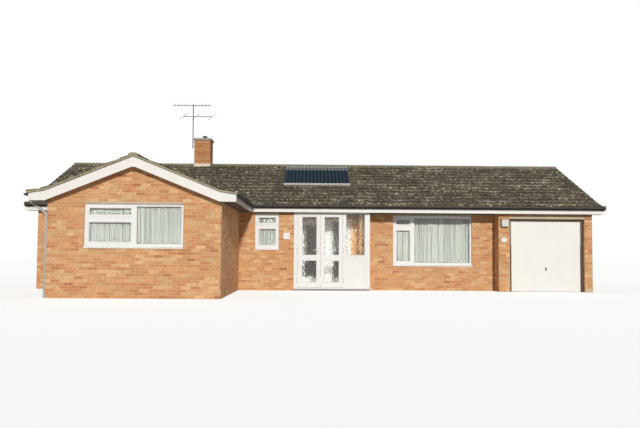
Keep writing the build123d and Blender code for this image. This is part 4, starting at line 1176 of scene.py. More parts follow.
@dataclass
class Roof:
    """Flat interlocking tiles in courses, ridge tiles with mortared joints, and bedded verges."""

    palette: Palette
    gauge: float = 0.345
    cover: float = 0.300
    tail: float = 0.028
    head: float = 0.006
    joint: float = 0.004
    wander: float = 0.002
    arris: float = 0.004
    least: float = 0.02
    strip: float = 0.22
    valley_gap: float = 0.055
    tones: tuple[Colour, Colour] = ((0.082, 0.067, 0.042), (0.105, 0.080, 0.045))
    common_share: float = 0.8
    change: Span = (0.72, 1.28)
    # Darker tone of each tile's tail face: dirt, and painted shade for the shadow line under each course.
    tail_dirt_and_painted_shade: float = 0.28
    worn_foot: float = 0.3
    worn_strip: float = 0.25
    worn_side: float = 0.8
    worn_side_strip: float = 0.2
    verge: tuple[Span, ...] = ((0.0, 0.006), (0.004, 0.010), (0.006, 0.040), (0.0, 0.047))
    ridge_tile: float = 0.45
    ridge_half: float = 0.125
    ridge_drop: float = 0.055
    ridge_overrun: float = 0.1
    ridge_least: float = 0.03
    ridge_lift: float = 0.003
    ridge_ends: tuple[Span, ...] = ((0.003, 0.010), (0.010, 0.0), (-0.010, 0.0), (-0.003, 0.010))
    ridge_steps: int = 8
    ridge_shades: Span = (0.25, 0.33)
    ridge_colour: Colour = (1.0, 0.92, 0.70)
    ridge_change: Span = (0.85, 1.15)
    seed: int = 5

    def __post_init__(self) -> None:
        """Starts the seeded random draws."""
        self.draw = random.Random(self.seed)

    def build(self) -> None:
        """Dresses the roof solids and lays tiles and ridges."""
        for node in ("main_roof_tiles", "wing_roof_tiles"):
            dress(node, self.palette["roof_core"])
        for node in ("main_roof_deck", "wing_roof_deck"):
            dress(node, self.palette["timber"])
        for name, slope in self._slopes().items():
            maker = MeshMaker(name)
            self._lay(maker, slope)
            maker.build(self.palette["tile"], HOUSE, "roof_tile")
        self._ridges()
        self._verges()

    def _tone(self) -> Colour:
        """Draws one tile's colour.

        Returns:
            The colour.
        """
        base = self.tones[0] if self.draw.random() < self.common_share else self.tones[1]
        change = self.draw.uniform(*self.change)
        return tuple(part * change for part in base)

    def _verges(self) -> None:
        """Points the tile edges along the gables with pale bedding mortar."""
        maker = MeshMaker("verge_bedding")
        (x0, _, _), (x1, _, _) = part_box("main_roof_tiles")
        for x, side in ((x0, -1.0), (x1, 1.0)):
            maker.loft([[(x + side * out, y, z - drop) for out, drop in self.verge]
                        for y, z in top_profile("main_roof_tiles", Axis.Y)])
        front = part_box("wing_roof_tiles")[0][1]
        maker.loft([[(x, front - out, z - drop) for out, drop in self.verge]
                    for x, z in top_profile("wing_roof_tiles", Axis.X)])
        maker.build(self.palette["bedding"], HOUSE, "roof_tile")

    def _slopes(self) -> dict[str, RoofSlope]:
        """Works out the five slopes from the tile solids' own top edges.

        Returns:
            Each slope by the name of its piece.
        """
        main = top_profile("main_roof_tiles", Axis.Y)
        wing = top_profile("wing_roof_tiles", Axis.X)
        (x0, _, _), (x1, _, _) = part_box("main_roof_tiles")
        (wx0, wy0, _), (wx1, wy1, _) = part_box("wing_roof_tiles")
        centre = (wx0 + wx1) / 2
        valley = -wy1
        rear = [(y, z) for y, z in main if y >= -SAME_LEVEL]
        front = [(-y, z) for y, z in reversed(main) if y <= SAME_LEVEL]
        right = [(x - centre, z) for x, z in wing if x >= centre - SAME_LEVEL]

        def cut(run: float) -> float:
            """Returns how far from the wing's ridge the valley is at a run of the main roof."""
            return max(run - valley + self.valley_gap, 0.0)

        slopes = {
            "rear_tiles": RoofSlope(rear[::-1], lambda u, r, z: (u, r, z), lambda r: (x0, x1)),
            "front_left_tiles": RoofSlope(
                front[::-1], lambda u, r, z: (u, -r, z), lambda r: (x0, centre - cut(r))),
            "front_right_tiles": RoofSlope(
                front[::-1], lambda u, r, z: (u, -r, z), lambda r: (centre + cut(r), x1)),
        }
        for name, side in (("wing_left_tiles", -1.0), ("wing_right_tiles", 1.0)):
            slopes[name] = RoofSlope(
                right[::-1], lambda u, r, z, side=side: (centre + side * r, u, z),
                lambda r: (wy0, -valley - r - self.valley_gap))
        return slopes

    def _lay(self, maker: MeshMaker, slope: RoofSlope) -> None:
        """Lays the courses of one slope from the eaves up.

        Args:
            maker: Takes the tiles.
            slope: The slope.
        """
        courses = max(1, round(slope.lengths[-1] / self.gauge))
        gauge = slope.lengths[-1] / courses
        for row in range(courses):
            shift = self.cover / 2 if row % 2 else 0.0
            lines = (slope.at(row * gauge), slope.at((row + 1) * gauge))
            ends = [slope.ends(line[0]) for line in lines]
            first = int(math.floor((min(a for a, _ in ends) - shift) / self.cover))
            last = int(math.ceil((max(b for _, b in ends) - shift) / self.cover))
            for i in range(first, last):
                left, right = shift + i * self.cover, shift + (i + 1) * self.cover - self.joint
                spans = [(max(left, a), min(right, b)) for a, b in ends]
                if max(b - a for a, b in spans) < self.least:
                    continue
                spans = [(a, b) if b > a else ((a + b) / 2,) * 2 for a, b in spans]
                lift = self.draw.uniform(-self.wander, self.wander)
                self._tile(maker, slope, spans, lines, lift)

    def _tile(self, maker: MeshMaker, slope: RoofSlope, spans: Sequence[Span], lines: Sequence[RoofLine],
              lift: float) -> None:
        """Adds one tile: a thin slab that lies on the course below at its tail.

        Args:
            maker: Takes the tile.
            slope: Its slope.
            spans: Its ends along the eaves, at its tail and at its head.
            lines: The level lines of its tail and its head.
            lift: How much higher it lies than its neighbours.
        """
        tone = self._tone()
        (a0, b0), (a1, b1) = spans
        foot, top = lines
        tail, head = self.tail + lift, self.head + lift
        inset = min(self.arris, (b0 - a0) / 3)
        corners = [slope.over(u, foot, out) for u, out in (
            (a0, 0.0), (b0, 0.0), (b0, tail - self.arris), (a0, tail - self.arris))]
        upper = [slope.over(a0 + inset, foot, tail), slope.over(b0 - inset, foot, tail),
                 slope.over(b1, top, head), slope.over(a1, top, head)]
        middle = [tuple(p + (q - p) * self.strip for p, q in zip(upper[i], upper[3 - i])) for i in (0, 1)]
        base = [slope.over(b1, top, 0.0), slope.over(a1, top, 0.0)]
        foot_worn, strip = self.worn_foot, self.worn_strip
        side, side_strip = self.worn_side, self.worn_side_strip
        faces = [
            # The tail's front face takes the darker tone: dirt and painted shade.
            (corners, (0.0, 0.0, foot_worn, foot_worn), tuple(self.tail_dirt_and_painted_shade * part for part in tone)),
            ([corners[3], corners[2], upper[1], upper[0]], (1.0, 1.0, 1.0, 1.0), tone),
            ([upper[0], upper[1], middle[1], middle[0]], (1.0, 1.0, strip, strip), tone),
            ([middle[0], middle[1], upper[2], upper[3]], (strip, strip, 0.0, 0.0), tone),
            ([corners[1], base[0], upper[2], middle[1], upper[1], corners[2]],
             (foot_worn, 0.0, 0.0, side_strip, side, side), tone),
            ([base[1], corners[0], corners[3], upper[0], middle[0], upper[3]],
             (0.0, foot_worn, side, side, side_strip, 0.0), tone),
        ]
        turn = -1 if slope.mirrored() else 1
        for face, edges, colour in faces:
            maker.face(face[::turn], colour, edges[::turn])

    def _ridges(self) -> None:
        """Lays half-round ridge tiles over the CAD ridge, clear of the chimney."""
        maker = MeshMaker("ridge_courses")
        main_low, main_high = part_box("main_roof_tiles")
        wing_low, wing_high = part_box("wing_roof_tiles")
        stack_low, stack_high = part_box("chimney_stack")
        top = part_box("ridge_tiles")[1][2]
        for a, b in self._stretches(main_low[0], main_high[0]):
            spans = [(a, b)]
            if b > stack_low[0] and a < stack_high[0]:
                spans = [(a, min(b, stack_low[0])), (max(a, stack_high[0]), b)]
            for span in spans:
                if span[1] - span[0] > self.ridge_least:
                    self._ridge_tile(maker, span, lambda u, v, z: (u, v, z), top)
        centre = (wing_low[0] + wing_high[0]) / 2
        wing_top = top - (main_high[2] - wing_high[2])
        for span in self._stretches(wing_low[1], wing_high[1] + self.ridge_overrun):
            self._ridge_tile(maker, span, lambda u, v, z: (centre - v, u, z), wing_top)
        maker.build(self.palette["moss"], HOUSE, "roof_tile")
        dress("ridge_tiles", self.palette["bedding"])

    def _stretches(self, low: float, high: float) -> list[Span]:
        """Divides a ridge into whole tiles.

        Args:
            low: Where it starts.
            high: Where it ends.

        Returns:
            The two ends of each tile, in order.
        """
        count = round((high - low) / self.ridge_tile)
        step = (high - low) / count
        return [(low + i * step, low + (i + 1) * step) for i in range(count)]

    def _ridge_tile(self, maker: MeshMaker, span: Span, place: Place, top: float) -> None:
        """Adds one arched ridge tile with slightly rounded ends.

        Args:
            maker: Takes the tile.
            span: Its ends along the ridge.
            place: Turns a place along the ridge, a place across it and a level into a point.
            top: The level of its crown.
        """
        base = self.ridge_shades[0] if self.draw.random() < 0.5 else self.ridge_shades[1]
        tone = tuple(base * part * self.draw.uniform(*self.ridge_change) for part in self.ridge_colour)
        spring = top + self.draw.uniform(0.0, self.ridge_lift) - self.ridge_drop
        rings = []
        for offset, shrink in self.ridge_ends:
            along = span[0 if offset > 0.0 else 1] + offset
            angles = [math.pi * k / self.ridge_steps for k in range(self.ridge_steps + 1)]
            rings.append([place(along, -math.cos(angle) * (self.ridge_half - shrink),
                                spring + (self.ridge_drop - shrink) * math.sin(angle)) for angle in angles])
        maker.loft([ring[::-1] for ring in rings], tone, closed=False, caps=False)
        maker.face(rings[0], tone)
        maker.face(rings[-1][::-1], tone)


def top_profile(node: str, axis: Axis) -> list[Span]:
    """Reads the upper edge of a roof solid's section, across one axis.

    Args:
        node: The CAD node.
        axis: The axis that the section runs along.

    Returns:
        Place and level of each bend, in order.
    """
    levels: dict[float, float] = {}
    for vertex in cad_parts[node].data.vertices:
        across = round(vertex.co[axis.value], 3)
        levels[across] = max(levels.get(across, -1.0), vertex.co[2])
    points = sorted(levels.items())
    least_bend = 0.02
    bends = [points[0]]
    for here, after in zip(points[1:], points[2:]):
        rise = (here[1] - bends[-1][1]) / (here[0] - bends[-1][0])
        onward = (after[1] - here[1]) / (after[0] - here[0])
        if abs(rise - onward) > least_bend:
            bends.append(here)
    bends.append(points[-1])
    return bends


@dataclass
class Joinery:
    """Dresses frames, doors, boards, rainwater goods and other CAD nodes."""

    palette: Palette

    FINISHES = {
        "board": ("barge_boards", "main_fascias", "wing_fascias"),
        "soffit": ("soffits",),
        "gutter": ("main_gutters", "wing_gutters"),
        "pipe": ("downpipes",),
        "frame": ("front_window_frames", "rear_window_frames", "window_sills", "porch_side_frames",
                  "porch_side_light", "porch_sill", "porch_left_leaf", "porch_right_leaf", "porch_lever",
                  "entrance_door_frame", "entrance_door", "back_door", "meter_box"),
        "glass": ("window_glass",),
        "obscured": ("porch_left_leaf_glass", "porch_right_leaf_glass", "porch_fixed_glass",
                     "entrance_door_glass"),
        "lintel": ("window_lintels", "garage_lintel"),
        "concrete": ("porch_step", "house_floor", "garage_floor", "chimney_cap"),
        "brown": ("garage_frame",),
        "door_white": ("garage_door",),
        "steel": ("garage_arms", "garage_pivots", "garage_door_pins", "door_hinges"),
        "dark_steel": ("garage_handle",),
        "lead": ("lead_flashings",),
        "clay": ("chimney_pot",),
        "aerial": ("aerial_mast", "roof_aerials"),
        "solar_grey": ("solar_frames",),
        "tube_glass": ("solar_tubes",),
        "net": ("net_curtains",),
        "lamp_metal": ("wall_lamp",),
        "plaque": ("number_plaque",),
    }

    def build(self) -> None:
        """Gives each listed node its finish."""
        for finish, nodes in self.FINISHES.items():
            for node in nodes:
                dress(node, self.palette[finish])


def islands(node: str) -> list[tuple[Vector, Vector]]:
    """Finds the box of each separate solid in a CAD node.

    Args:
        node: The CAD node.

    Returns:
        The lowest and highest corner of each solid, from left to right.
    """
    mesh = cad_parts[node].data
    keys: dict[tuple[float, ...], int] = {}
    index = [keys.setdefault(tuple(round(part, 4) for part in vertex.co), len(keys))
             for vertex in mesh.vertices]
    parent = list(range(len(keys)))

    def find(i: int) -> int:
        """Looks up the point that stands for a whole solid.

        Args:
            i: Any point of the solid.

        Returns:
            The solid's own first point.
        """
        while parent[i] != i:
            parent[i] = parent[parent[i]]
            i = parent[i]
        return i

    for polygon in mesh.polygons:
        first = find(index[polygon.vertices[0]])
        for vertex in polygon.vertices[1:]:
            parent[find(index[vertex])] = first
    boxes: dict[int, tuple[Vector, Vector]] = {}
    for key, i in keys.items():
        low, high = boxes.setdefault(find(i), (Vector(key), Vector(key)))
        for k in range(3):
            low[k] = min(low[k], key[k])
            high[k] = max(high[k], key[k])
    return sorted(boxes.values(), key=lambda box: (round(box[0][0], 3), round(box[0][2], 3)))


@dataclass
class Nets:
    """Net curtains in close, uneven pleats, one behind each window."""

    palette: Palette
    pleat: float = 0.066
    spread: Span = (0.55, 1.5)
    wave: float = 0.0075
    wave_share: float = 0.82
    wave_change: float = 0.18
    wave_rate: float = 1.7
    drift: float = 0.07
    lean: float = 0.06
    rows: int = 16
    steps: int = 9
    seed: int = 23

    def build(self) -> None:
        """Hangs one net in the place of each CAD curtain."""
        draw = random.Random(self.seed)
        for i, (low, high) in enumerate(islands("net_curtains")):
            self._hang(f"net_{i + 1}", low, high, draw)

    def _hang(self, name: str, low: Vector, high: Vector, draw: random.Random) -> None:
        """Hangs one net.

        Args:
            name: The piece's name.
            low: Lowest corner of the CAD curtain.
            high: Highest corner of the CAD curtain.
            draw: The seeded random draws.
        """
        width, height = high[0] - low[0], high[2] - low[2]
        middle = (low[1] + high[1]) / 2
        stops = [0.0]
        while stops[-1] < width:
            stops.append(stops[-1] + self.pleat * draw.uniform(*self.spread))
        stops = [stop * width / stops[-1] for stop in stops]
        columns: list[Span] = []
        for k, (a, b) in enumerate(zip(stops, stops[1:])):
            for j in range(self.steps if k < len(stops) - 2 else self.steps + 1):
                columns.append((a + (b - a) * j / self.steps, k + j / self.steps))
        drift = [draw.uniform(-self.drift, self.drift) for _ in stops]
        maker = MeshMaker(name)
        rings = []
        for row in range(self.rows + 1):
            share = row / self.rows
            ring = []
            for x, phase in columns:
                lean = drift[int(min(phase, len(stops) - 1))] * (1.0 - share) * self.lean
                size = self.wave_share + self.wave_change * math.sin(phase * self.wave_rate)
                sway = math.sin(2 * math.pi * (phase + lean)) * size
                ring.append((low[0] + x, middle + self.wave * sway, low[2] + height * share))
            rings.append(ring)
        maker.loft(rings, closed=False, caps=False)
        net = maker.build(self.palette["net"], HOUSE, "net_curtain", smooth=True)
        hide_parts("net_curtains")


@dataclass
class Glazing:
    """White glazing beads and dark seals round every pane, on both of its sides."""

    palette: Palette
    bead: float = 0.013
    rise: float = 0.012
    slant: float = 0.004
    seal: float = 0.004
    seal_lap: float = 0.001
    seal_rise: Span = (0.0035, 0.0025)

    PANES = {"window_glass": HOUSE, "porch_fixed_glass": HOUSE, "porch_left_leaf_glass": "porch_left_leaf",
             "porch_right_leaf_glass": "porch_right_leaf", "entrance_door_glass": "entrance_door"}

    def build(self) -> None:
        """Adds the beads and seals of each glass node."""
        edge = self.bead + self.seal
        bead = ((0.0, self.rise), (self.slant, self.rise), (self.bead, self.slant), (self.bead, 0.0))
        seal = ((self.bead - self.seal_lap, self.seal_rise[0]), (edge, self.seal_rise[1]), (edge, 0.0))
        for node, body in self.PANES.items():
            for kind, section, finish in (("beads", bead, "frame"), ("seals", seal, "rubber")):
                maker = MeshMaker(f"{node}_{kind}")
                for low, high in islands(node):
                    for side in (-1.0, 1.0):
                        self._ring(maker, low, high, side, section)
                maker.build(self.palette[finish], body, "white_frame")

    def _ring(self, maker: MeshMaker, low: Vector, high: Vector, side: float,
              section: Sequence[Span]) -> None:
        """Adds a frame-shaped ring on one side of a pane.

        Args:
            maker: Takes the faces.
            low: The pane's lowest corner.
            high: The pane's highest corner.
            side: Which way that side faces.
            section: Inset and height of each line of the ring.
        """
        across = 1 if high[1] - low[1] < high[0] - low[0] else 0
        along = 1 - across
        level = high[across] if side > 0.0 else low[across]
        rings = []
        for inset, rise in section:
            ring = []
            for u, z in ((low[along] + inset, low[2] + inset), (high[along] - inset, low[2] + inset),
                         (high[along] - inset, high[2] - inset), (low[along] + inset, high[2] - inset)):
                point = [0.0, 0.0, z]
                point[along] = u
                point[across] = level + side * rise
                ring.append(tuple(point))
            rings.append(ring if (side < 0.0) == (across == 1) else ring[::-1])
        maker.loft(rings, caps=False)


@dataclass(frozen=True)
class GutterLine:
    """Where a run of gutter lies and which way it looks."""

    centre: Vector
    along: Vector
    house: Vector


@dataclass
class Rainwater:
    """Gutter brackets, unions and stop ends, and the clips and sockets of the downpipes."""

    palette: Palette
    radius: float = 0.056
    pitch: float = 0.929
    bracket: float = 0.028
    union: float = 0.085
    wall: float = 0.004
    gap: float = 0.0005
    arc_steps: int = 12
    main_margins: Span = (0.12, 0.08)
    wing_margins: Span = (0.15, 0.15)
    lip_gap: float = 0.001
    lip: Span = (0.012, 0.005)
    plate: Span = (-0.030, 0.028)
    stop: float = 0.004
    pipe_radius: float = 0.034
    pipe_gap: float = 0.026
    pipe_sides: int = 24
    socket: Collar = (1.93, 0.075, 0.004)
    clips: tuple[Collar, ...] = ((0.42, 0.020, 0.003), (1.18, 0.020, 0.003), (1.86, 0.020, 0.003))
    lug_half: float = 0.050
    lug_inset: float = 0.002

    def build(self) -> None:
        """Adds the fittings of every run."""
        maker = MeshMaker("gutter_fittings")
        for low, high in islands("main_gutters"):
            front = high[1] < 0.0
            centre = (low[1] + self.radius) if front else (high[1] - self.radius)
            line = GutterLine(Vector((0, centre, high[2])), Vector((1, 0, 0)),
                              Vector((0, 1.0 if front else -1.0, 0)))
            self._run(maker, line, low[0] + self.main_margins[0], high[0] - self.main_margins[1])
            outer = high[0] if high[0] > 0.0 else low[0]
            for x in (outer,) if front else (low[0], high[0]):
                self._stop(maker, line, x, -1.0 if x > 0 else 1.0)
        wing_low, wing_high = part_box("wing_gutters")
        for low, high in islands("wing_gutters"):
            right = high[0] > (wing_low[0] + wing_high[0]) / 2
            centre = high[0] - self.radius if right else low[0] + self.radius
            line = GutterLine(Vector((centre, 0, high[2])), Vector((0, 1, 0)),
                              Vector((-1.0 if right else 1.0, 0, 0)))
            self._run(maker, line, low[1] + self.wing_margins[0], high[1] - self.wing_margins[1])
            self._stop(maker, line, low[1], 1.0)
        maker.build(self.palette["gutter"], HOUSE, "black_gutter")
        self._pipe_fittings()

    def _pipe_fittings(self) -> None:
        """Adds a socket below each swan-neck and clips with lugs down each downpipe."""
        maker = MeshMaker("downpipe_fittings")
        radius, inset = self.pipe_radius, self.lug_inset
        for low, high in islands("downpipes"):
            if low[1] < 0.0:
                foot, house = Vector((high[0] - radius, (low[1] + high[1]) / 2, 0)), Vector((1, 0, 0))
            else:
                foot, house = Vector(((low[0] + high[0]) / 2, low[1] + radius, 0)), Vector((0, -1, 0))
            side = Vector((house[1], -house[0], 0.0))
            for level, tall, proud in (self.socket, *self.clips):
                base = foot + UP * level
                maker.rod(base, base + UP * tall, radius + proud, self.pipe_sides)
                if (level, tall, proud) == self.socket:
                    continue
                back = base + house * (radius + self.pipe_gap)
                maker.loft([[tuple(back + side * half + house * a + UP * b)
                             for a, b in ((-self.pipe_gap, inset), (-inset, inset), (-inset, tall - inset),
                                          (-self.pipe_gap, tall - inset))]
                            for half in (-self.lug_half, self.lug_half)])
        maker.build(self.palette["pipe"], HOUSE, "grey_pipe")

    def _run(self, maker: MeshMaker, line: GutterLine, start: float, stop: float) -> None:
        """Adds the brackets and unions of one run.

        Args:
            maker: Takes the faces.
            line: The run.
            start: Where the fittings start along it.
            stop: Where they end.
        """
        count = max(2, round((stop - start) / self.pitch))
        step = (stop - start) / count
        for i in range(count + 1):
            place = line.centre + line.along * (start + i * step)
            self._strap(maker, line, place, self.union if i % 4 == 2 else self.bracket)

    def _arc(self, line: GutterLine) -> list[Vector]:
        """Returns even directions round a gutter's underside, from its front lip to the board."""
        angles = (math.pi * (1.0 + k / self.arc_steps) for k in range(self.arc_steps + 1))
        return [line.house * math.cos(angle) + UP * math.sin(angle) for angle in angles]

    def _strap(self, maker: MeshMaker, line: GutterLine, place: Vector, width: float) -> None:
        """Adds one strap under the gutter, with a hook over its lip and a plate against the board.

        Args:
            maker: Takes the faces.
            line: The run.
            place: The middle of the gutter there.
            width: The strap's width.
        """
        half = line.along * (width / 2)
        inner, outer = self.radius + self.gap, self.radius + self.wall
        maker.loft([[tuple(place + ray * reach + end) for reach, end in (
            (inner, -half), (outer, -half), (outer, half), (inner, half))] for ray in self._arc(line)])
        for start, depth, levels in (
                (place - line.house * (self.radius + self.lip_gap), self.lip[0], (0.0, self.lip[1])),
                (place + line.house * (self.radius - self.wall), self.wall, self.plate)):
            maker.loft([[tuple(start + end + line.house * a + UP * b) for a, b in (
                (0.0, levels[0]), (depth, levels[0]), (depth, levels[1]), (0.0, levels[1]))]
                for end in (-half, half)])

    def _stop(self, maker: MeshMaker, line: GutterLine, place: float, inward: float) -> None:
        """Closes the end of a run, at a place along it, with a half-round plate that grows inward."""
        end = line.centre + line.along * place
        maker.loft([[tuple(end + line.along * (inward * depth) + ray * (self.radius - self.lip_gap))
                     for ray in self._arc(line)] for depth in (self.gap, self.stop)])


@dataclass
class SolarCollectors:
    """End caps, sleeves, bands and studs of the solar tubes, dark strips of painted shade in the gaps between
    them, and the trim of their rails.
    """

    palette: Palette
    fall: float = 0.4
    cap: Span = (-0.020, -0.001)
    cap_proud: float = 0.004
    sleeve: Span = (0.001, 0.24)
    sleeve_proud: float = 0.002
    band_shares: Span = (0.45, 0.74)
    band_width: float = 0.010
    band_proud: float = 0.0012
    tube_sides: int = 18
    stud_place: float = 0.075
    stud_sunk: float = 0.005
    stud_height: float = 0.040
    stud_radius: float = 0.026
    stud_sides: int = 12
    # Size and place of the dark strips of painted shade between the tubes.
    shade_sheet_reach: float = 0.045
    shade_sheet_drop: float = 0.35
    shade_sheet_lap: float = 0.004
    shade_sheet_half: float = 0.0015
    manifold_level: float = 3.7
    manifold_overhang: float = 0.002
    rail_overhang: float = 0.0008
    sheet: float = 0.002
    turn: float = 0.4

    def __post_init__(self) -> None:
        """Works out the directions of the roof slope."""
        slope = math.atan(self.fall)
        self.sine, self.cosine = math.sin(slope), math.cos(slope)
        self.down = Vector((0.0, -self.cosine, -self.sine))
        self.outward = Vector((0.0, -self.sine, self.cosine))

    def build(self) -> None:
        """Adds the fittings of each tube and the trim of each rail."""
        caps, sleeves = MeshMaker("solar_tube_caps"), MeshMaker("solar_tube_sleeves")
        bands, studs = MeshMaker("solar_tube_bands"), MeshMaker("solar_studs")
        tubes = islands("solar_tubes")
        for low, high in tubes:
            middle, radius = (low + high) / 2, (high[0] - low[0]) / 2
            length = (high[1] - low[1] - 2 * radius * self.sine) / self.cosine
            top, foot = middle - self.down * (length / 2), middle + self.down * (length / 2)
            self._collar(caps, foot, self.cap, radius + self.cap_proud)
            self._collar(sleeves, top, self.sleeve, radius + self.sleeve_proud)
            for share in self.band_shares:
                start = length * share
                self._collar(bands, top, (start, start + self.band_width), radius + self.band_proud)
            stud = top - self.down * self.stud_place + self.outward * (radius - self.stud_sunk)
            studs.rod(stud, stud + self.outward * self.stud_height, self.stud_radius, self.stud_sides)
        trim, rails = MeshMaker("solar_manifold_trim"), MeshMaker("solar_rail_caps")
        for low, high in islands("solar_frames"):
            if low[2] > self.manifold_level:
                self._bar(trim, low, high, self.manifold_overhang)
            else:
                self._bar(rails, low, high, self.rail_overhang)
        # The strips between the tubes are painted shade, in the tubes' dark glass.
        for maker, finish in ((self._gap_shade_sheets(tubes), "tube_glass"), (caps, "rubber"), (sleeves, "solar_grey"),
                              (bands, "rubber"), (studs, "rail"), (trim, "solar_grey"), (rails, "rail")):
            maker.build(self.palette[finish], HOUSE, "solar_metal")

    def _collar(self, maker: MeshMaker, start: Vector, span: Span, radius: float) -> None:
        """Adds a round collar between two distances down the slope from a place on a tube's axis."""
        maker.rod(start + self.down * span[0], start + self.down * span[1], radius, self.tube_sides)

    def _gap_shade_sheets(self, tubes: Sequence[tuple[Vector, Vector]]) -> MeshMaker:
        """Lays dark strips of painted shade that fill the gaps between neighbouring tubes.

        Args:
            tubes: The box of each tube, from left to right.

        Returns:
            The strips.
        """
        shade_sheets = MeshMaker("solar_gap_shade")
        for (low, high), (next_low, _) in zip(tubes, tubes[1:]):
            if next_low[0] - high[0] > self.shade_sheet_reach:
                continue
            radius = (high[0] - low[0]) / 2
            drop = self.outward * (self.shade_sheet_drop * radius)
            back = Vector((0.0, high[1] - radius, high[2] - radius)) - drop
            front = Vector((0.0, low[1] + radius, low[2] + radius)) - drop
            near, far = high[0] - self.shade_sheet_lap, next_low[0] + self.shade_sheet_lap
            shade_sheets.loft([[(x, place[1], place[2] + rise)
                        for x, place in ((near, front), (far, front), (far, back), (near, back))]
                       for rise in (-self.shade_sheet_half, self.shade_sheet_half)])
        return shade_sheets

    def _bar(self, maker: MeshMaker, low: Vector, high: Vector, overhang: float) -> None:
        """Covers a rail's top face with a sheet that turns down over its two long edges.

        Args:
            maker: Takes the faces.
            low: The rail's lowest corner.
            high: The rail's highest corner.
            overhang: How far the sheet stands out at the ends.
        """
        depth, rise = high[1] - low[1], high[2] - low[2]
        length = (depth * self.cosine - rise * self.sine) / (self.cosine ** 2 - self.sine ** 2)
        height = (rise - length * self.sine) / self.cosine
        start = Vector((0.0, low[1] + height * self.sine, low[2]))
        foot, crown = height - self.turn * height, height + self.sheet
        ends = (-self.sheet, length + self.sheet)
        outline = [(ends[0], foot), (ends[0], crown), (ends[1], crown), (ends[1], foot),
                   (length, foot), (length, height), (0.0, height), (0.0, foot)]
        maker.loft([[tuple(start + Vector((x, 0.0, 0.0)) - self.down * a + self.outward * b)
                     for a, b in outline] for x in (low[0] - overhang, high[0] + overhang)])


@dataclass
class ChimneyTop:
    """The pot with its dark cowl, bedded in a mound of mortar."""

    palette: Palette
    sides: int = 28

    POT = ((0.70, 0.0), (0.66, 0.30), (0.62, 0.42), (0.74, 0.47), (0.74, 0.56), (0.60, 0.60), (0.58, 0.62),
           (0.50, 0.62), (0.50, 0.05))
    COWL = ((0.56, 0.58), (0.60, 0.70), (0.98, 0.74), (1.0, 0.80), (0.92, 0.86), (0.60, 0.95), (0.20, 0.995),
            (0.01, 1.0))
    MORTAR = ((1.9, 0.0), (1.5, 0.06), (1.0, 0.18), (0.72, 0.26), (0.62, 0.27))

    def build(self) -> None:
        """Turns the pot, the cowl and the mortar mound."""
        pot = self._turn("pot_body", self.POT, "clay", "clay_pot")
        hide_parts("chimney_pot")
        self._turn("pot_cowl", self.COWL, "dark_steel", "clay_pot")
        self._turn("pot_mortar", self.MORTAR, "concrete", "concrete")

    def _turn(self, name: str, profile: Sequence[Span], finish: str, slot: str) -> bpy.types.Object:
        """Turns a profile about the pot's own axis.

        Args:
            name: The piece's name.
            profile: Radius and height of each line, as shares of the CAD pot's.
            finish: Its material's name.
            slot: Its material slot.

        Returns:
            The turned piece.
        """
        low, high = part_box("chimney_pot")
        x, y = (low[0] + high[0]) / 2, (low[1] + high[1]) / 2
        radius, height = (high[0] - low[0]) / 2, high[2] - low[2]
        maker = MeshMaker(name)
        maker.loft([[(x + out * radius * math.cos(t), y + out * radius * math.sin(t), low[2] + up * height)
                     for t in round_angles(self.sides)] for out, up in profile], caps=False)
        return maker.build(self.palette[finish], HOUSE, slot, smooth=True)


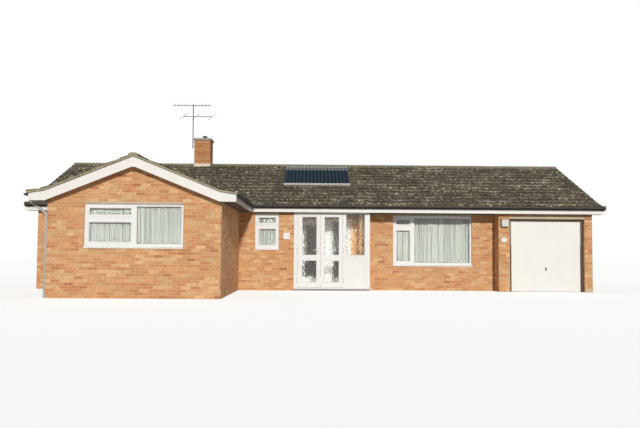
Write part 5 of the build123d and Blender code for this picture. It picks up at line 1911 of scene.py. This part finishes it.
@dataclass
class FrontFittings:
    """The lamp, the bare oval plaque, the meter box door and the trim of the doors and boards."""

    palette: Palette
    apex_half: float = 0.020
    apex_proud: float = 0.009
    apex_levels: Span = (-0.314, -0.064)
    base_proud: float = 0.011
    base_side: float = 0.008
    base_height: float = 0.115
    lamp_rim: float = 0.024
    lamp_pane: Span = (0.002, 0.009)
    lamp_bar_half: float = 0.004
    lamp_bar: Span = (-0.001, 0.003)
    hood_side: float = 0.006
    hood_proud: float = 0.008
    hood_levels: Span = (-0.014, 0.004)
    tray_side: float = 0.003
    tray_proud: float = 0.004
    tray_inset: float = 0.02
    tray_height: float = 0.010
    plaque_section: tuple[Span, ...] = ((0.0, 0.0), (0.002, 0.004), (0.007, 0.005), (0.011, 0.0))
    plaque_sides: int = 48
    meter_inset: float = 0.008
    meter_proud: float = 0.006
    lock_inset: float = 0.03
    lock_depths: Span = (0.009, 0.005)
    lock_radius: float = 0.009
    lock_sides: int = 16
    door_rim: float = 0.022
    door_proud: float = 0.0022
    press_half: float = 0.37
    press_proud: float = 0.003
    press_levels: Span = (0.925, 0.940)
    handle_radius: float = 0.027
    handle_proud: float = 0.006
    handle_sides: int = 24
    lever_recess: float = 0.014
    lever_end: float = 0.010
    lever_half: float = 0.016
    lever_proud: float = 0.006
    lever_levels: Span = (-0.13, 0.05)

    def build(self) -> None:
        """Adds the trim of each fitting."""
        self._lamp()
        self._plaque()
        self._meter()
        self._garage()
        self._porch()
        self._apex()
        self._pier_base()

    def _apex(self) -> None:
        """Covers the joint of the two barge boards at the top of the wing gable."""
        low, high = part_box("wing_roof_tiles")
        middle, front = (low[0] + high[0]) / 2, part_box("barge_boards")[0][1]
        foot, top = (high[2] + level for level in self.apex_levels)
        maker = MeshMaker("apex_strip")
        maker.box((middle - self.apex_half, front - self.apex_proud, foot),
                  (middle + self.apex_half, front, top))
        maker.build(self.palette["board"], HOUSE, "white_board", bevel=0.003)

    def _pier_base(self) -> None:
        """Adds the pale rendered foot of the right garage pier."""
        low, high = islands("garage_piers")[-1]
        maker = MeshMaker("pier_base")
        maker.box((low[0], low[1] - self.base_proud, low[2]),
                  (high[0] + self.base_side, low[1], low[2] + self.base_height))
        maker.build(self.palette["lintel"], HOUSE, "pale_lintel", bevel=0.005)

    def _lamp(self) -> None:
        """Adds the opal pane, the middle bar, the hood and the tray of the wall lamp."""
        (x0, y0, z0), (x1, y1, z1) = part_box("wall_lamp")
        glass, metal = MeshMaker("lamp_pane"), MeshMaker("lamp_bars")
        rim, middle, half = self.lamp_rim, (x0 + x1) / 2, self.lamp_bar_half
        glass.box((x0 + rim, y0 + self.lamp_pane[0], z0 + rim), (x1 - rim, y0 + self.lamp_pane[1], z1 - rim))
        metal.box((middle - half, y0 + self.lamp_bar[0], z0 + rim),
                  (middle + half, y0 + self.lamp_bar[1], z1 - rim))
        metal.box((x0 - self.hood_side, y0 - self.hood_proud, z1 + self.hood_levels[0]),
                  (x1 + self.hood_side, y1, z1 + self.hood_levels[1]))
        metal.box((x0 - self.tray_side, y0 - self.tray_proud, z0),
                  (x1 + self.tray_side, y1 - self.tray_inset, z0 + self.tray_height))
        glass.build(self.palette["opal"], HOUSE, "lamp_black", bevel=0.002)
        metal.build(self.palette["lamp_metal"], HOUSE, "lamp_black", bevel=0.002)

    def _plaque(self) -> None:
        """Adds the raised rim of the bare plaque."""
        (x0, y0, z0), (x1, _, z1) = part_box("number_plaque")
        x, z, wide, tall = (x0 + x1) / 2, (z0 + z1) / 2, (x1 - x0) / 2, (z1 - z0) / 2
        maker = MeshMaker("plaque_rim")
        maker.loft([[(x + (wide - inset) * math.cos(t), y0 - rise, z + (tall - inset) * math.sin(t))
                     for t in round_angles(self.plaque_sides)] for inset, rise in self.plaque_section],
                   caps=False)
        maker.build(self.palette["plaque"], HOUSE, "white_plaque", smooth=True)

    def _meter(self) -> None:
        """Adds the door and the lock of the meter box."""
        (x0, y0, z0), (x1, _, z1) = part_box("meter_box")
        maker, inset = MeshMaker("meter_door"), self.meter_inset
        maker.box((x0 + inset, y0 - self.meter_proud, z0 + inset), (x1 - inset, y0, z1 - inset))
        maker.build(self.palette["frame"], HOUSE, "white_frame", bevel=0.003)
        lock = MeshMaker("meter_lock")
        ends = [Vector((x1 - self.lock_inset, y0 - depth, (z0 + z1) / 2)) for depth in self.lock_depths]
        lock.rod(*ends, self.lock_radius, self.lock_sides)
        lock.build(self.palette["dark_steel"], HOUSE, "white_frame")

    def _garage(self) -> None:
        """Adds the folded rim, the pressed line and the handle plate of the garage door."""
        (x0, y0, z0), (x1, _, z1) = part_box("garage_door")
        maker, rim, middle = MeshMaker("garage_door_pressing"), self.door_rim, (x0 + x1) / 2
        for left, right, foot, top in (
                (x0, x1, z0, z0 + rim), (x0, x1, z1 - rim, z1),
                (x0, x0 + rim, z0 + rim, z1 - rim), (x1 - rim, x1, z0 + rim, z1 - rim)):
            maker.box((left, y0 - self.door_proud, foot), (right, y0, top))
        maker.box((middle - self.press_half, y0 - self.press_proud, self.press_levels[0]),
                  (middle + self.press_half, y0, self.press_levels[1]))
        maker.build(self.palette["door_white"], "garage_door", "white_steel", bevel=0.0012)
        plate = MeshMaker("garage_handle_plate")
        handle_low, handle_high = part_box("garage_handle")
        level = (handle_low[2] + handle_high[2]) / 2
        plate.rod(Vector((middle, y0 - self.handle_proud, level)), Vector((middle, y0, level)),
                  self.handle_radius, self.handle_sides)
        plate.build(self.palette["dark_steel"], "garage_door", "galvanised_steel", bevel=0.0015)

    def _porch(self) -> None:
        """Adds the lever's long plate on both sides of the left leaf."""
        low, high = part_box("porch_left_leaf")
        lever_low, lever_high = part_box("porch_lever")
        foot, top = ((lever_low[2] + lever_high[2]) / 2 + level for level in self.lever_levels)
        spindle, half = lever_high[0] - self.lever_end, self.lever_half
        maker = MeshMaker("porch_lever_plates")
        for face, side in ((low[1] + self.lever_recess, -1.0), (high[1], 1.0)):
            depths = sorted((face, face + side * self.lever_proud))
            maker.box((spindle - half, depths[0], foot), (spindle + half, depths[1], top))
        maker.build(self.palette["steel"], "porch_left_leaf", "galvanised_steel", bevel=0.002)


@dataclass
class Studio:
    """Pale floor, white background, soft light, and the camera at the photograph's angle."""

    image_width: float = 640.0
    focal_pixels: float = 730.9
    sensor: float = 36.0
    far: float = 500.0
    stand: Point = (-0.109, -26.251, 1.135)
    yaw: float = 0.583
    pitch: float = 3.035
    roll: float = 0.412
    floor_size: float = 160.0
    floor_level: float = -0.002
    floor_lift: float = 0.62
    floor_colour: Colour = (0.60, 0.60, 0.59)
    floor_stain: Colour = (0.56, 0.56, 0.55)
    floor_amount: float = 0.1
    floor_scale: float = 0.6
    floor_rough: float = 0.9
    sun_strength: float = 2.42
    sun_height: float = 19.5
    sun_turn: float = -8.0
    sun_angle: float = 3.0
    sun_colour: Colour = (1.0, 0.965, 0.90)
    sky: float = 0.20
    sky_colour: Colour = (0.93, 0.96, 1.0)

    def build(self) -> None:
        """Builds the floor, the lights, the background and the camera."""
        self._floor()
        self._lights()
        self._camera()
        bpy.context.scene.view_settings.view_transform = "Standard"

    def _floor(self) -> None:
        """Lays the pale floor, which shows white and keeps the house's shadow."""
        half, level = self.floor_size / 2, self.floor_level
        mesh = bpy.data.meshes.new("studio_floor")
        corners = ((-half, -half), (half, -half), (half, half), (-half, half))
        mesh.from_pydata([(x, y, level) for x, y in corners], [], [(0, 1, 2, 3)])
        floor = bpy.data.objects.new("studio_floor", mesh)
        bpy.context.scene.collection.objects.link(floor)
        material, paint, shader = surface("studio_floor")
        tone = paint.noise(paint.place(), self.floor_scale, detail=2.0)
        amount = paint.math("MULTIPLY", tone, self.floor_amount)
        paint.join(paint.mix(amount, self.floor_colour, self.floor_stain), shader.inputs["Base Color"])
        shader.inputs["Roughness"].default_value = self.floor_rough
        glow = paint.node("ShaderNodeEmission")
        glow.inputs["Color"].default_value = (*WHITE, 1.0)
        paint.join(paint.math("MULTIPLY", paint.direct_rays(), self.floor_lift), glow.inputs["Strength"])
        paint.send("Material Output", "ShaderNodeAddShader", shader.outputs[0], glow.outputs[0])
        mesh.materials.append(material)

    def _lights(self) -> None:
        """Sets a soft sun behind the camera, an even pale sky and a white background."""
        data = bpy.data.lights.new("soft_sun", "SUN")
        data.energy = self.sun_strength
        data.angle = math.radians(self.sun_angle)
        data.color = self.sun_colour
        sun = bpy.data.objects.new("soft_sun", data)
        bpy.context.scene.collection.objects.link(sun)
        sun.rotation_euler = (math.radians(90.0 - self.sun_height), 0.0, math.radians(-self.sun_turn))
        world = bpy.data.worlds.new("studio")
        world.use_nodes = True
        bpy.context.scene.world = world
        paint = Paint(world.node_tree)
        sky, seen = paint.tree.nodes["Background"], paint.node("ShaderNodeBackground")
        for shader, colour, strength in ((sky, self.sky_colour, self.sky), (seen, WHITE, 1.0)):
            shader.inputs["Color"].default_value = (*colour, 1.0)
            shader.inputs["Strength"].default_value = strength
        paint.send("World Output", "ShaderNodeMixShader", paint.direct_rays(), sky.outputs[0],
                   seen.outputs[0])

    def _camera(self) -> None:
        """Sets the camera where the photograph was taken from."""
        yaw, pitch, roll = (math.radians(angle) for angle in (self.yaw, self.pitch, self.roll))
        ahead = Vector((math.sin(yaw) * math.cos(pitch), math.cos(yaw) * math.cos(pitch), math.sin(pitch)))
        right = Vector((math.cos(yaw), -math.sin(yaw), 0.0))
        up = right.cross(ahead)
        turned_right = right * math.cos(roll) + up * math.sin(roll)
        turned_up = up * math.cos(roll) - right * math.sin(roll)
        data = bpy.data.cameras.new("camera")
        data.sensor_width = self.sensor
        data.lens = self.focal_pixels / self.image_width * self.sensor
        data.clip_end = self.far
        camera = bpy.data.objects.new("camera", data)
        bpy.context.scene.collection.objects.link(camera)
        rotation = Matrix((turned_right, turned_up, -ahead)).transposed()
        camera.matrix_world = Matrix.Translation(self.stand) @ rotation.to_4x4()
        bpy.context.scene.camera = camera


def main() -> None:
    """Builds every part of the scene in order."""
    logging.basicConfig(level=logging.INFO, format="%(name)s: %(message)s")
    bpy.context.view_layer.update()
    palette = Palette()
    for kind in (Joinery, Walls, Roof, Nets, Glazing, Rainwater, SolarCollectors, ChimneyTop, FrontFittings):
        kind(palette).build()
    Studio().build()
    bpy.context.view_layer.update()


if __name__ == "__main__":
    main()
